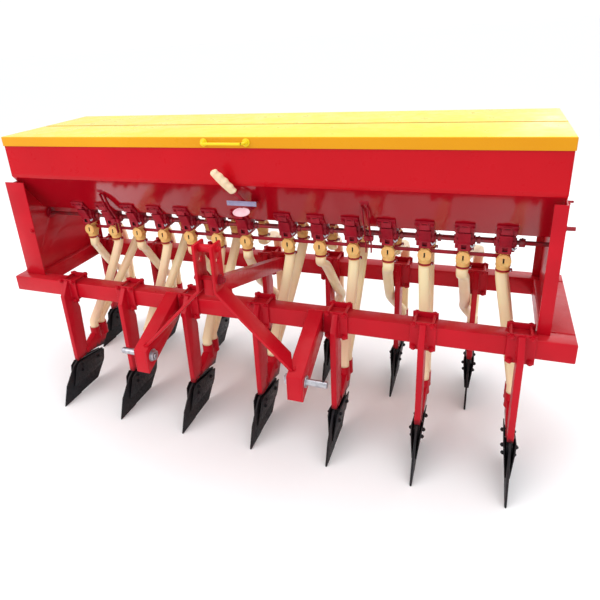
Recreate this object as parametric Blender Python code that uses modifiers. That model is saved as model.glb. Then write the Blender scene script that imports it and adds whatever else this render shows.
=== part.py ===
"""Tractor-mounted seed and fertiliser drill, parked on its openers.

Metres, +Z up. The front of the machine faces -Y. The origin is on the ground,
at the middle of the machine's length and width.
"""

import math

import bmesh
import bpy
from mathutils import Matrix, Vector

# ---------------------------------------------------------------- driving dimensions
ROW_COUNT = 14
ROW_PITCH = 0.175
BEAM_SIDE = 0.080
BEAM_OVERHANG = 0.184          # beam end beyond the outermost row
FRAME_DEPTH = 0.554            # front face of the front beam to that of the rear beam
BEAM_TOP = 0.618
SIDE_BEAM_WIDTH = 0.120
SEAT_GAP = 0.0003              # between pieces that touch

# lid and box
LID_TOP = 1.348
LID_SHEET = 0.003
LIP_DEPTH = 0.045
LID_OVERHANG = 0.0035          # lid beyond the box, at each end
BOX_INSET = 0.0945             # box end inside the beams' ends
BOX_SHEET = 0.004
BOX_FRONT = 0.054              # outer face of the front panel behind the front beam's face
FRONT_BIN_DEPTH = 0.2975
REAR_BIN_DEPTH = 0.3315
HINGE_SEAM = 0.014             # between the two lids
HINGE_DROP = 0.004             # hinge axis below the lids' top
LIP_CLEARANCE = 0.004
HANDLE_X = -0.025
HANDLE_HALF = 0.095
HANDLE_REACH = 0.034
HANDLE_RADIUS = 0.006
HANDLE_BEND = 0.016
PANEL_FOLD_Z = 1.152           # where the front and rear panels turn inwards
FLOOR_Z = 0.945
RIDGE_RISE = 0.085
ROW_SPREAD = 0.100             # each metering row from the partition
TROUGH_WIDTH = 0.080
PARTITION_DROP = 0.012         # partition below the box's top
END_SHEET = 0.004

# metering cups, feed shafts and funnels
CUP_PITCH_SHARE = 0.861        # of the row pitch
CUP_FIRST = 0.105              # first cup from the rows' middle
CUP_ROW_SHIFT = 0.049          # the rows' middle right of the machine's middle
CUP_WIDTH = 0.074
CUP_BASE_Z = 0.862
CUP_HALF_DEPTH = 0.038
CUP_FLANGE = 0.065
CUP_FLANGE_THICK = 0.012
CUP_SHOULDER = 0.018           # up the slope from the trough's corner to the shoulder
CUP_SHOULDER_OUT = 0.020
CUP_FACE_HEIGHT = 0.030
RAIL_WIDTH = 0.012
SHAFT_Z = 0.900
SHAFT_RADIUS = 0.009
SHAFT_CLEARANCE = 0.0025
SHAFT_STUB = 0.014             # shaft end beyond the support
COLLAR_RADIUS = 0.017
COLLAR_LENGTH = 0.022
COLLAR_GAP = 0.012             # from the last cup to the collar
FUNNEL_RADIUS = 0.0285
FUNNEL_LENGTH = 0.050
FUNNEL_Z = 0.826
FUNNEL_FACE = 0.027            # disc face from the middle of the row
NECK_HALF = 0.014
SOCKET_RADIUS = 0.026
SOCKET_DROP = 0.052
TUBE_RADIUS = 0.021
LINK_BAR = 0.008
LINK_SET = 0.006               # bar behind the middle of the row

# box supports
SUPPORT_SHEET = 0.005
SUPPORT_OVERHANG = 0.046       # rear edge behind the rear beam's face
SUPPORT_TOP = 1.120
SUPPORT_CHAMFER = 0.100
SUPPORT_POST = 0.030           # width of the rear flange
SUPPORT_POST_DROP = 0.020      # rear flange's top below the floor
FLANGE_LEFT_OUT = 0.046
FLANGE_LEFT_IN = 0.067
FLANGE_RIGHT_OUT = 0.002
FLANGE_RIGHT_IN = 0.0385

# three-point hitch
ARM_ROW = 2                    # lower arms stand this many row pitches from the middle
ARM_WIDTH = 0.065
ARM_HEIGHT = 0.110
ARM_REACH = 0.305
PIN_RADIUS = 0.014
PIN_STAND = 0.088
PIN_SETBACK = 0.040            # pin behind the arm's front face
PIN_Z = 0.461
PIN_NUT_RADIUS = 0.024
PIN_NUT_LENGTH = 0.016
MAST_TOP = 1.002
MAST_KNEE = 0.812
MAST_GAP = 0.062
MAST_FLAT = 0.012
MAST_FOOT_Z = 0.500            # the flats run on into the arms as far as this
MAST_WIDTH = 0.080
MAST_FRONT = 0.284             # front edge ahead of the front beam's face
MAST_HOLE_RADIUS = 0.0125
MAST_HOLE_Z = 0.933
SPACER_RADIUS = 0.016
SPACER_DROP = 0.006            # spacer below the flats' top
STAY_DEPTH = 0.065
STAY_HOLE_Z = 0.852
STAY_WIDTH = 0.038
STAY_HEAD_DROP = 0.030         # stay's front end below its bolt
STAY_FOOT_RISE = 0.010         # stay's rear end above the beam's middle
STAY_BOLT_STAND = 0.010

# tynes and openers
SHANK_THICK = 0.024
CLAMP_ROOM = 0.010             # between a clamp and a lower arm, both sides together
CLAMP_HEIGHT = 0.122
CLAMP_THICK = 0.010
CLAMP_BOLT_RADIUS = 0.006
CLAMP_BOLT_EDGE = 0.015        # from a clamp's edge to its bolts
OPENER_THICK = 0.014
OPENER_TOP = 0.188
BOOT_WIDTH = 0.035
BOOT_TOP = 0.300
BOOT_FRONT = 0.092
BOOT_REAR = 0.206
BOOT_PIPE_LENGTH = 0.070
PIPE_RADIUS = 0.026
KNEE_REACH = 0.063             # shank's front edge ahead of the beam's face
KNEE_DROP = 0.052              # its knee below the beam's top
SHANK_HEAD = 0.018
SHANK_HEEL = 0.034

# a shoe opener's corners, as (y, z) from the beam's front face and the ground
OPENER_OUTLINE = ((-0.210, 0.0), (0.060, 0.0), (0.135, 0.076), (0.143, 0.158),
                  (0.098, 0.1645), (-0.065, OPENER_TOP), (-0.095, 0.174), (-0.170, 0.096))

# tube routes
TUBE_START = 0.010             # above the socket's foot
TUBE_DROP = 0.030              # straight run at each end
BEAM_PASS_RISE = 0.075         # over the rear beam
BEAM_PASS_SET = 0.045
TUBE_SIDE_GAP = 0.008          # beside a shank
UNDER_BEAM = 0.045             # under the rear beam
FRONT_BULGE = 0.020
REAR_BULGE = 0.090
UNDER_SET = 0.055
UNDER_Z = 0.415

# rate lever and its scale
LEVER_SEAT = 0.135             # up the front slope from the trough's corner
LEVER_PIVOT_X = 0.044
LEVER_PIVOT_OUT = 0.037
LEVER_HUB_LENGTH = 0.042
LEVER_HUB_RADIUS = 0.015
LEVER_RADIUS = 0.007
LEVER_DROP = 0.012
LEVER_TIP_X = -0.062
LEVER_TIP_OUT = 0.065
LEVER_TIP_Z = 1.221
GRIP_RADIUS = 0.014
GRIP_SHARE = 0.54              # of the lever's length
SCALE_X0 = -0.046
SCALE_X1 = 0.090
SCALE_OUT = 0.073
SCALE_SHEET = 0.003
SCALE_TOP_RISE = 0.026          # over the lever's seat
SCALE_HEIGHT = 0.021
SCALE_BRACKET = 0.016
SCALE_BRACKET_X = 0.070
SCALE_BRACKET_FOOT = 0.010     # bracket's foot up the slope from the lever's seat

# worked out from the above
FRONT_FACE = (ARM_REACH - FRAME_DEPTH - BOOT_REAR) / 2
REAR_FACE = FRONT_FACE + FRAME_DEPTH
BEAM_BASE = BEAM_TOP - BEAM_SIDE
BEAM_MID_Z = BEAM_TOP - BEAM_SIDE / 2
BEAM_HALF = (ROW_COUNT - 1) * ROW_PITCH / 2 + BEAM_OVERHANG
BOX_LENGTH = 2 * (BEAM_HALF - BOX_INSET)
CUP_PITCH = ROW_PITCH * CUP_PITCH_SHARE
HITCH_SPAN = 2 * ARM_ROW * ROW_PITCH + ARM_WIDTH
CLAMP_WIDTH = ROW_PITCH - ARM_WIDTH - CLAMP_ROOM
BOX_Y0 = FRONT_FACE + BOX_FRONT
SPLIT_Y = BOX_Y0 + FRONT_BIN_DEPTH
BOX_Y1 = SPLIT_Y + REAR_BIN_DEPTH
BOX_TOP = LID_TOP - LID_SHEET - 0.001
FRONT_ROW_Y = SPLIT_Y - ROW_SPREAD
REAR_ROW_Y = SPLIT_Y + ROW_SPREAD
SUPPORT_X = BOX_LENGTH / 2 + SEAT_GAP
SUPPORT_FRONT_Y = BOX_Y0
HINGE_Z = LID_TOP - HINGE_DROP
BOOT_PIPE_Y = (BOOT_FRONT + PIPE_RADIUS + 0.001, BOOT_REAR - PIPE_RADIUS - 0.001)

ENAMEL_RED = (0.62, 0.012, 0.02, 1.0)
LID_YELLOW = (0.93, 0.80, 0.02, 1.0)
TUBE_CREAM = (0.85, 0.74, 0.50, 1.0)
OPENER_BLACK = (0.018, 0.018, 0.02, 1.0)
PIN_STEEL = (0.45, 0.45, 0.47, 1.0)
PLATE_GREY = (0.36, 0.36, 0.44, 1.0)

ROUND_SIDES = 12
SIDE_VIEW = Matrix(((0, 0, 1, 0), (1, 0, 0, 0), (0, 1, 0, 0), (0, 0, 0, 1)))
FRONT_VIEW = Matrix(((1, 0, 0, 0), (0, 0, -1, 0), (0, 1, 0, 0), (0, 0, 0, 1)))


# ---------------------------------------------------------------- scene and helpers
def clear_scene():
    """Remove whatever the file opened with."""
    for item in list(bpy.data.objects):
        bpy.data.objects.remove(item, do_unlink=True)


def new_collection(name):
    """Make a collection in the scene."""
    collection = bpy.data.collections.new(name)
    bpy.context.scene.collection.children.link(collection)
    return collection


def finish_material(name, colour, roughness, metallic):
    """Make a Principled material for one piece."""
    material = bpy.data.materials.new(name)
    material.use_nodes = True
    shader = material.node_tree.nodes["Principled BSDF"]
    shader.inputs["Base Color"].default_value = colour
    shader.inputs["Roughness"].default_value = roughness
    shader.inputs["Metallic"].default_value = metallic
    return material


def clean(mesh):
    """Weld a mesh's loose caps and turn its faces outwards."""
    shape = bmesh.new()
    shape.from_mesh(mesh)
    bmesh.ops.remove_doubles(shape, verts=shape.verts, dist=0.00002)
    bmesh.ops.recalc_face_normals(shape, faces=shape.faces)
    shape.to_mesh(mesh)
    shape.free()
    return mesh


def scratch(mesh):
    """Put a mesh on a working object that the model doesn't keep."""
    item = bpy.data.objects.new("scratch", mesh)
    bpy.context.scene.collection.objects.link(item)
    return item


def evaluated_mesh(item):
    """Return a new mesh with the object's modifiers and place applied, and drop the object."""
    bpy.context.view_layer.update()
    graph = bpy.context.evaluated_depsgraph_get()
    mesh = bpy.data.meshes.new_from_object(item.evaluated_get(graph))
    mesh.transform(item.matrix_world)
    bpy.data.objects.remove(item, do_unlink=True)
    return mesh


def plate(outline, thickness, view, at=(0, 0, 0)):
    """Extrude a flat outline either side of its plane. at is the plate's place."""
    curve = bpy.data.curves.new("outline", "CURVE")
    curve.dimensions = "2D"
    curve.fill_mode = "BOTH"
    curve.extrude = thickness / 2
    spline = curve.splines.new("POLY")
    spline.points.add(len(outline) - 1)
    for point, (across, up) in zip(spline.points, outline):
        point.co = (across, up, 0, 1)
    spline.use_cyclic_u = True
    item = bpy.data.objects.new("outline", curve)
    bpy.context.scene.collection.objects.link(item)
    item.matrix_world = Matrix.Translation(at) @ view
    return clean(evaluated_mesh(item))


def side_plate(outline, thickness, x):
    """Extrude a (y, z) outline along X, centred on x."""
    return plate(outline, thickness, SIDE_VIEW, (x, 0, 0))


def front_plate(outline, thickness, y):
    """Extrude an (x, z) outline along Y, centred on y."""
    return plate(outline, thickness, FRONT_VIEW, (0, y, 0))


def box(low, high):
    """A box between two corners."""
    shape = bmesh.new()
    bmesh.ops.create_cube(shape, size=1)
    size = Vector(high) - Vector(low)
    middle = (Vector(high) + Vector(low)) / 2
    bmesh.ops.scale(shape, vec=size, verts=shape.verts)
    bmesh.ops.translate(shape, vec=middle, verts=shape.verts)
    mesh = bpy.data.meshes.new("box")
    shape.to_mesh(mesh)
    shape.free()
    return mesh


def cylinder(start, end, radius, sides=ROUND_SIDES):
    """A closed cylinder from start to end."""
    start, end = Vector(start), Vector(end)
    run = end - start
    shape = bmesh.new()
    bmesh.ops.create_cone(shape, cap_ends=True, segments=sides, radius1=radius,
                          radius2=radius, depth=run.length)
    turn = run.to_track_quat("Z", "Y").to_matrix().to_4x4()
    place = Matrix.Translation((start + end) / 2) @ turn
    bmesh.ops.transform(shape, matrix=place, verts=shape.verts)
    mesh = bpy.data.meshes.new("cylinder")
    shape.to_mesh(mesh)
    shape.free()
    return mesh


def rod(points, radius, resolution=2):
    """A round bar or tube of even thickness along a list of points."""
    curve = bpy.data.curves.new("rod", "CURVE")
    curve.dimensions = "3D"
    curve.bevel_depth = radius
    curve.bevel_resolution = resolution
    curve.use_fill_caps = True
    spline = curve.splines.new("POLY")
    spline.points.add(len(points) - 1)
    for point, place in zip(spline.points, points):
        point.co = (*place, 1)
    item = bpy.data.objects.new("rod", curve)
    bpy.context.scene.collection.objects.link(item)
    return clean(evaluated_mesh(item))


def smooth_route(stations, steps):
    """Points along one smooth Catmull-Rom curve through the stations."""
    stations = [Vector(place) for place in stations]
    padded = [2 * stations[0] - stations[1]] + stations + [2 * stations[-1] - stations[-2]]
    points = []
    for before, here, there, after in zip(padded, padded[1:], padded[2:], padded[3:]):
        for step in range(steps):
            t = step / steps
            points.append(0.5 * (2 * here + (there - before) * t
                                 + (2 * before - 5 * here + 4 * there - after) * t ** 2
                                 + (3 * here - before - 3 * there + after) * t ** 3))
    points.append(stations[-1])
    return points


def sheet_outline(path, thickness):
    """Closed outline of a bent sheet: the path, and the same path moved to its left side."""
    path = [Vector(place) for place in path]
    inner = []
    for index, place in enumerate(path):
        before = path[max(index - 1, 0)]
        after = path[min(index + 1, len(path) - 1)]
        into = (place - before) if index else (after - place)
        out = (after - place) if index < len(path) - 1 else into
        left_in = Vector((-into.y, into.x)).normalized()
        left_out = Vector((-out.y, out.x)).normalized()
        mitre = (left_in + left_out).normalized()
        inner.append(place + mitre * thickness / mitre.dot(left_in))
    return [tuple(place) for place in path + inner[::-1]]


def combine(base, others, operation):
    """Join or cut a mesh with others, one Boolean for each."""
    item = scratch(base)
    helpers = [scratch(mesh) for mesh in others]
    for helper in helpers:
        helper.hide_render = True
        helper.display_type = "WIRE"
        step = item.modifiers.new("step", "BOOLEAN")
        step.operation = operation
        step.solver = "EXACT"
        step.object = helper
    mesh = evaluated_mesh(item)
    for helper in helpers:
        bpy.data.objects.remove(helper, do_unlink=True)
    return clean(mesh)


def union(base, *others):
    """Join meshes into one body."""
    return combine(base, others, "UNION")


def cut(base, *others):
    """Cut meshes out of a mesh."""
    return combine(base, others, "DIFFERENCE")


class Parts:
    """Keeps the named pieces in one collection, each with its own material."""

    def __init__(self, collection):
        self.collection = collection

    def empty(self, name, place):
        """An empty that carries pieces."""
        item = bpy.data.objects.new(name, None)
        item.location = place
        self.collection.objects.link(item)
        return item

    def add(self, name, mesh, colour, roughness=0.4, metallic=0.0, parent=None, origin=(0, 0, 0)):
        """Name a piece. origin is its reference point, in world terms."""
        mesh = mesh.copy()
        mesh.name = name
        mesh.transform(Matrix.Translation(-Vector(origin)))
        mesh.materials.clear()
        mesh.materials.append(finish_material(name, colour, roughness, metallic))
        item = bpy.data.objects.new(name, mesh)
        item.location = origin
        if parent is not None:
            item.parent = parent
            item.location = Vector(origin) - parent.location
        self.collection.objects.link(item)
        mesh.shade_smooth()
        mesh.set_sharp_from_angle(angle=math.radians(35))
        return item


# ---------------------------------------------------------------- frame
def add_frame(parts):
    """Two cross beams, and a side beam inside each end of them."""
    for name, face in (("front_beam", FRONT_FACE), ("rear_beam", REAR_FACE)):
        mesh = box((-BEAM_HALF, face, BEAM_BASE), (BEAM_HALF, face + BEAM_SIDE, BEAM_TOP))
        parts.add(name, mesh, ENAMEL_RED)
    near = FRONT_FACE + BEAM_SIDE + SEAT_GAP
    far = REAR_FACE - SEAT_GAP
    for name, side in (("side_beam_left", -1), ("side_beam_right", 1)):
        edges = sorted((side * (BEAM_HALF - SIDE_BEAM_WIDTH), side * BEAM_HALF))
        mesh = box((edges[0], near, BEAM_BASE), (edges[1], far, BEAM_TOP))
        parts.add(name, mesh, ENAMEL_RED)


def arm_edges():
    """Lower arm's side outline: (y, z) of its front low, rear low, rear high and front high corners."""
    pin = Vector((FRONT_FACE - ARM_REACH + PIN_SETBACK, PIN_Z))
    root = Vector((FRONT_FACE - SEAT_GAP, BEAM_MID_Z))
    rise = (root.y - pin.y) / (root.x - pin.x)
    front_y = FRONT_FACE - ARM_REACH
    front_z = pin.y - PIN_SETBACK * rise
    half = ARM_HEIGHT / 2
    return (Vector((front_y, front_z - half)), Vector((root.x, root.y - half)),
            Vector((root.x, root.y + half)), Vector((front_y, front_z + half)))


def add_hitch(parts):
    """Lower arms with their pins, and the mast with its stay."""
    pin_y = FRONT_FACE - ARM_REACH + PIN_SETBACK
    corners = [tuple(place) for place in arm_edges()]
    bore = cylinder((-HITCH_SPAN, pin_y, PIN_Z), (HITCH_SPAN, pin_y, PIN_Z), PIN_RADIUS + SEAT_GAP)
    for side_name, side in (("left", -1), ("right", 1)):
        middle = side * (HITCH_SPAN - ARM_WIDTH) / 2
        arm = cut(side_plate(corners, ARM_WIDTH, middle), bore.copy())
        parts.add("lower_hitch_" + side_name, arm, ENAMEL_RED)
        inner = side * (HITCH_SPAN / 2 - ARM_WIDTH - SEAT_GAP)
        outer = side * (HITCH_SPAN / 2 + PIN_STAND)
        nut_end = inner - side * PIN_NUT_LENGTH
        pin = cylinder(((inner + nut_end) / 2, pin_y, PIN_Z), (outer, pin_y, PIN_Z), PIN_RADIUS)
        nut = cylinder((nut_end, pin_y, PIN_Z), (inner, pin_y, PIN_Z), PIN_NUT_RADIUS, 6)
        parts.add("hitch_pin_" + side_name, union(nut, pin), PIN_STEEL, 0.35, 0.8)

    flat_mid_y = FRONT_FACE - MAST_FRONT + MAST_WIDTH / 2
    rear_high, front_high = arm_edges()[2:]
    slope = (rear_high.y - front_high.y) / (rear_high.x - front_high.x)
    shave = []
    for y in (front_high.x - ARM_REACH, rear_high.x + ARM_REACH):
        shave.append((y, front_high.y + (y - front_high.x) * slope + SEAT_GAP * 2))
    shave += [(rear_high.x + ARM_REACH, 0), (front_high.x - ARM_REACH, 0)]
    arm_room = side_plate(shave, 2 * HITCH_SPAN, 0)
    foot_x = (HITCH_SPAN - ARM_WIDTH) / 2
    hole_ends = (-MAST_GAP, MAST_GAP)
    for side_name, side in (("left", -1), ("right", 1)):
        knee_x = side * (MAST_GAP / 2 + MAST_FLAT)
        path = [(knee_x, MAST_TOP), (knee_x, MAST_KNEE), (side * foot_x, MAST_FOOT_Z)]
        outline = sheet_outline(path, -side * MAST_FLAT)
        flat = front_plate(outline, MAST_WIDTH, flat_mid_y)
        holes = []
        for hole_z in (MAST_HOLE_Z, STAY_HOLE_Z):
            start, end = ((x, flat_mid_y, hole_z) for x in hole_ends)
            holes.append(cylinder(start, end, MAST_HOLE_RADIUS))
        parts.add("mast_flat_" + side_name, cut(flat, arm_room.copy(), *holes), ENAMEL_RED)

    half_gap = MAST_GAP / 2 - SEAT_GAP
    spacer_z = MAST_TOP - SPACER_RADIUS - SPACER_DROP
    spacer = cylinder((-half_gap, flat_mid_y, spacer_z), (half_gap, flat_mid_y, spacer_z), SPACER_RADIUS)
    parts.add("mast_spacer", spacer, ENAMEL_RED)

    front_end = (flat_mid_y - MAST_WIDTH / 4, STAY_HOLE_Z - STAY_HEAD_DROP)
    rear_end = (REAR_FACE - SEAT_GAP, BEAM_MID_Z + STAY_FOOT_RISE)
    run = Vector(rear_end) - Vector(front_end)
    half_rise = STAY_DEPTH / 2 * run.length / run.x
    outline = [(front_end[0], front_end[1] - half_rise), (rear_end[0], rear_end[1] - half_rise),
               (rear_end[0], rear_end[1] + half_rise), (front_end[0], front_end[1] + half_rise)]
    bolt_half = MAST_GAP / 2 + MAST_FLAT + STAY_BOLT_STAND
    bolt = cylinder((-bolt_half, flat_mid_y, STAY_HOLE_Z), (bolt_half, flat_mid_y, STAY_HOLE_Z),
                    MAST_HOLE_RADIUS - SEAT_GAP * 2)
    parts.add("mast_stay", union(side_plate(outline, STAY_WIDTH, 0), bolt), ENAMEL_RED)


# ---------------------------------------------------------------- seed and fertiliser box
def floor_points():
    """Corners of the box's W-shaped floor, front to rear, as (y, z) on its underside."""
    half = TROUGH_WIDTH / 2
    return [(FRONT_ROW_Y - half, FLOOR_Z), (FRONT_ROW_Y + half, FLOOR_Z),
            (SPLIT_Y, FLOOR_Z + RIDGE_RISE),
            (REAR_ROW_Y - half, FLOOR_Z), (REAR_ROW_Y + half, FLOOR_Z)]


def add_box(parts):
    """Front and rear panels, folded floor, partition and two end plates."""
    corners = floor_points()
    panel_length = BOX_LENGTH - 2 * (END_SHEET + SEAT_GAP)
    front = [(BOX_Y0, BOX_TOP), (BOX_Y0, PANEL_FOLD_Z), corners[0]]
    parts.add("hopper_front_panel", side_plate(sheet_outline(front, BOX_SHEET), panel_length, 0),
              ENAMEL_RED)
    rear = [(BOX_Y1, BOX_TOP), (BOX_Y1, PANEL_FOLD_Z), corners[4]]
    parts.add("hopper_rear_panel", side_plate(sheet_outline(rear, -BOX_SHEET), panel_length, 0),
              ENAMEL_RED)
    floor = list(corners)
    step = SEAT_GAP + BOX_SHEET
    floor[0] = (corners[0][0] + step, FLOOR_Z)
    floor[4] = (corners[4][0] - step, FLOOR_Z)
    parts.add("hopper_floor", side_plate(sheet_outline(floor, BOX_SHEET), panel_length, 0), ENAMEL_RED)
    ridge_top = FLOOR_Z + RIDGE_RISE + BOX_SHEET * 3
    wall = box((-panel_length / 2, SPLIT_Y - BOX_SHEET / 2, ridge_top),
               (panel_length / 2, SPLIT_Y + BOX_SHEET / 2, BOX_TOP - PARTITION_DROP))
    parts.add("hopper_partition", wall, ENAMEL_RED)
    outline = [(BOX_Y0, BOX_TOP), (BOX_Y0, PANEL_FOLD_Z)] + corners
    outline += [(BOX_Y1, PANEL_FOLD_Z), (BOX_Y1, BOX_TOP)]
    for name, side in (("hopper_end_left", -1), ("hopper_end_right", 1)):
        middle = side * (BOX_LENGTH - END_SHEET) / 2
        parts.add(name, side_plate(outline, END_SHEET, middle), ENAMEL_RED)


def lid_tray(near, far, side):
    """A folded lid between two y values. side is -1 for the front lid, 1 for the rear one."""
    half = BOX_LENGTH / 2 + LID_OVERHANG
    tray = box((-half, near, LID_TOP - LIP_DEPTH), (half, far, LID_TOP))
    lip = LID_SHEET
    low = near + lip if side < 0 else near - 1
    high = far - lip if side > 0 else far + 1
    hollow = box((-half + lip, low, LID_TOP - 1), (half - lip, high, LID_TOP - lip))
    return cut(tray, hollow)


def add_lids(parts):
    """Two lids hinged back to back over the partition, the front one with a grab handle."""
    front_edge = BOX_Y0 - LIP_CLEARANCE - LID_SHEET
    rear_edge = BOX_Y1 + LIP_CLEARANCE + LID_SHEET
    front_axis = SPLIT_Y - HINGE_SEAM / 2
    rear_axis = SPLIT_Y + HINGE_SEAM / 2
    handle_z = LID_TOP - LIP_DEPTH / 2
    inside = front_edge + LID_SHEET / 2
    out = front_edge - HANDLE_REACH
    corner = HANDLE_BEND * (1 - math.sqrt(0.5))
    right_half = [(HANDLE_HALF, inside), (HANDLE_HALF, out + HANDLE_BEND),
                  (HANDLE_HALF - corner, out + corner), (HANDLE_HALF - HANDLE_BEND, out)]
    left_half = [(-x, y) for x, y in reversed(right_half)]
    route = [(HANDLE_X + x, y, handle_z) for x, y in right_half + left_half]
    front = union(lid_tray(front_edge, front_axis, -1), rod(route, HANDLE_RADIUS))
    parts.add("front_lid", front, LID_YELLOW, 0.35, origin=(0, front_axis, HINGE_Z))
    parts.add("rear_lid", lid_tray(rear_axis, rear_edge, 1), LID_YELLOW, 0.35,
              origin=(0, rear_axis, HINGE_Z))


def add_supports(parts):
    """A plate with a front flange under each end of the box, standing on its side beam."""
    base = BEAM_TOP + SEAT_GAP
    rear_y = REAR_FACE + SUPPORT_OVERHANG
    flanges = {-1: (FLANGE_LEFT_OUT, FLANGE_LEFT_IN), 1: (FLANGE_RIGHT_OUT, FLANGE_RIGHT_IN)}
    bores = []
    for row_y in (FRONT_ROW_Y, REAR_ROW_Y):
        bores.append(cylinder((-BEAM_HALF, row_y, SHAFT_Z), (BEAM_HALF, row_y, SHAFT_Z),
                              SHAFT_RADIUS + SHAFT_CLEARANCE))
    for name, side in (("box_support_left", -1), ("box_support_right", 1)):
        out, within = flanges[side]
        web_x = SUPPORT_X + SUPPORT_SHEET / 2
        outline = [(SUPPORT_FRONT_Y - SUPPORT_SHEET, base), (rear_y, base),
                   (rear_y, SUPPORT_TOP - SUPPORT_CHAMFER), (rear_y - SUPPORT_CHAMFER, SUPPORT_TOP),
                   (SUPPORT_FRONT_Y - SUPPORT_SHEET, SUPPORT_TOP)]
        web = side_plate(outline, SUPPORT_SHEET, side * web_x)
        edges = sorted((side * (SUPPORT_X - within), side * (SUPPORT_X + SUPPORT_SHEET + out)))
        front_y = SUPPORT_FRONT_Y - SEAT_GAP
        flange = box((edges[0], front_y - SUPPORT_SHEET, base), (edges[1], front_y, SUPPORT_TOP))
        rear_in = sorted((side * (SUPPORT_X - SUPPORT_POST), side * (SUPPORT_X + SUPPORT_SHEET)))
        post_top = FLOOR_Z - SUPPORT_POST_DROP
        post = box((rear_in[0], rear_y - SUPPORT_SHEET, base), (rear_in[1], rear_y, post_top))
        support = cut(union(web, flange, post), *[bore.copy() for bore in bores])
        parts.add(name, support, ENAMEL_RED)


# ---------------------------------------------------------------- metering
def cup_places():
    """The x of each metering cup, left to right."""
    half = ROW_COUNT // 2
    offsets = [CUP_FIRST + CUP_PITCH * index for index in range(half)]
    return [CUP_ROW_SHIFT + x for x in [-x for x in reversed(offsets)] + offsets]


def row_places():
    """The x of each tyne, left to right."""
    return [(index - (ROW_COUNT - 1) / 2) * ROW_PITCH for index in range(ROW_COUNT)]


def slope_end(side):
    """Unit vector up the box's front (-1) or rear (1) slope, from the trough's corner."""
    corners = floor_points()
    low = corners[0] if side < 0 else corners[4]
    high = (BOX_Y0, PANEL_FOLD_Z) if side < 0 else (BOX_Y1, PANEL_FOLD_Z)
    return Vector(low), (Vector(high) - Vector(low)).normalized()


def cup_outline(row_y, side):
    """Side outline of a metering cup, whose flange lies under the box's slope."""
    corner, up = slope_end(side)
    out = Vector((side * abs(up.y), -abs(up.x)))
    top = FLOOR_Z - SEAT_GAP * 2
    start = corner + out * SEAT_GAP * 2
    start = start + up * ((top - start.y) / up.y)
    outer = row_y + side * CUP_HALF_DEPTH
    flange_tip = corner + up * CUP_FLANGE + out * SEAT_GAP * 2
    points = [tuple(start), tuple(flange_tip), tuple(flange_tip + out * CUP_FLANGE_THICK),
              tuple(corner + up * CUP_SHOULDER + out * CUP_SHOULDER_OUT),
              (outer, CUP_BASE_Z + CUP_FACE_HEIGHT), (outer, CUP_BASE_Z),
              (row_y - side * CUP_HALF_DEPTH, CUP_BASE_Z), (row_y - side * CUP_HALF_DEPTH, top)]
    return points


def add_meters(parts, name, row_y, side):
    """One row of metering cups on a rail under the trough, bored for its feed shaft."""
    places = cup_places()
    outline = cup_outline(row_y, side)
    rail_out = CUP_HALF_DEPTH - SEAT_GAP * 10
    rail_y = sorted((row_y - side * rail_out, row_y - side * (rail_out - RAIL_WIDTH)))
    rail_top = FLOOR_Z - SEAT_GAP * 4
    rail = box((places[0], rail_y[0], rail_top - LINK_BAR), (places[-1], rail_y[1], rail_top))
    cups = [side_plate(outline, CUP_WIDTH, x) for x in places]
    bore = cylinder((-BEAM_HALF, row_y, SHAFT_Z), (BEAM_HALF, row_y, SHAFT_Z),
                    SHAFT_RADIUS + SHAFT_CLEARANCE)
    row = cut(union(rail, *cups), bore)
    parts.add(name, row, ENAMEL_RED, 0.5)


def add_feed_shaft(parts, name, row_y, right_end):
    """A feed shaft with a driving collar near its right end, turned about its own axis."""
    left_end = -(SUPPORT_X + SUPPORT_SHEET + SHAFT_STUB)
    collar_start = cup_places()[-1] + CUP_WIDTH / 2 + COLLAR_GAP
    steps = [(left_end, SHAFT_RADIUS), (collar_start, SHAFT_RADIUS), (collar_start, COLLAR_RADIUS),
             (collar_start + COLLAR_LENGTH, COLLAR_RADIUS), (collar_start + COLLAR_LENGTH, SHAFT_RADIUS),
             (right_end, SHAFT_RADIUS)]
    profile = [(left_end, 0.0)] + steps + [(right_end, 0.0)]
    mesh = bpy.data.meshes.new("profile")
    points = [(x, radius, 0.0) for x, radius in profile]
    mesh.from_pydata(points, [(i, i + 1) for i in range(len(points) - 1)], [])
    item = scratch(mesh)
    turn = item.modifiers.new("turn", "SCREW")
    turn.axis = "X"
    turn.steps = ROUND_SIDES
    turn.render_steps = ROUND_SIDES
    turn.use_merge_vertices = True
    turn.merge_threshold = 0.00001
    shaft = clean(evaluated_mesh(item))
    shaft.transform(Matrix.Translation((0, row_y, SHAFT_Z)))
    parts.add(name, shaft, ENAMEL_RED, 0.45, 0.2, origin=(0, row_y, SHAFT_Z))


def funnel_mesh(row_y, side):
    """A funnel under a cup: a short drum lying front to back, its neck and its tube socket."""
    face = row_y + side * FUNNEL_FACE
    back = face - side * FUNNEL_LENGTH
    drum = cylinder((0, face, FUNNEL_Z), (0, back, FUNNEL_Z), FUNNEL_RADIUS, 8)
    neck = box((-NECK_HALF, row_y - NECK_HALF, FUNNEL_Z),
               (NECK_HALF, row_y + NECK_HALF, CUP_BASE_Z - SEAT_GAP))
    socket = cylinder((0, row_y, FUNNEL_Z - SOCKET_DROP), (0, row_y, FUNNEL_Z), SOCKET_RADIUS, 8)
    return union(drum, neck, socket)


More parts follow.
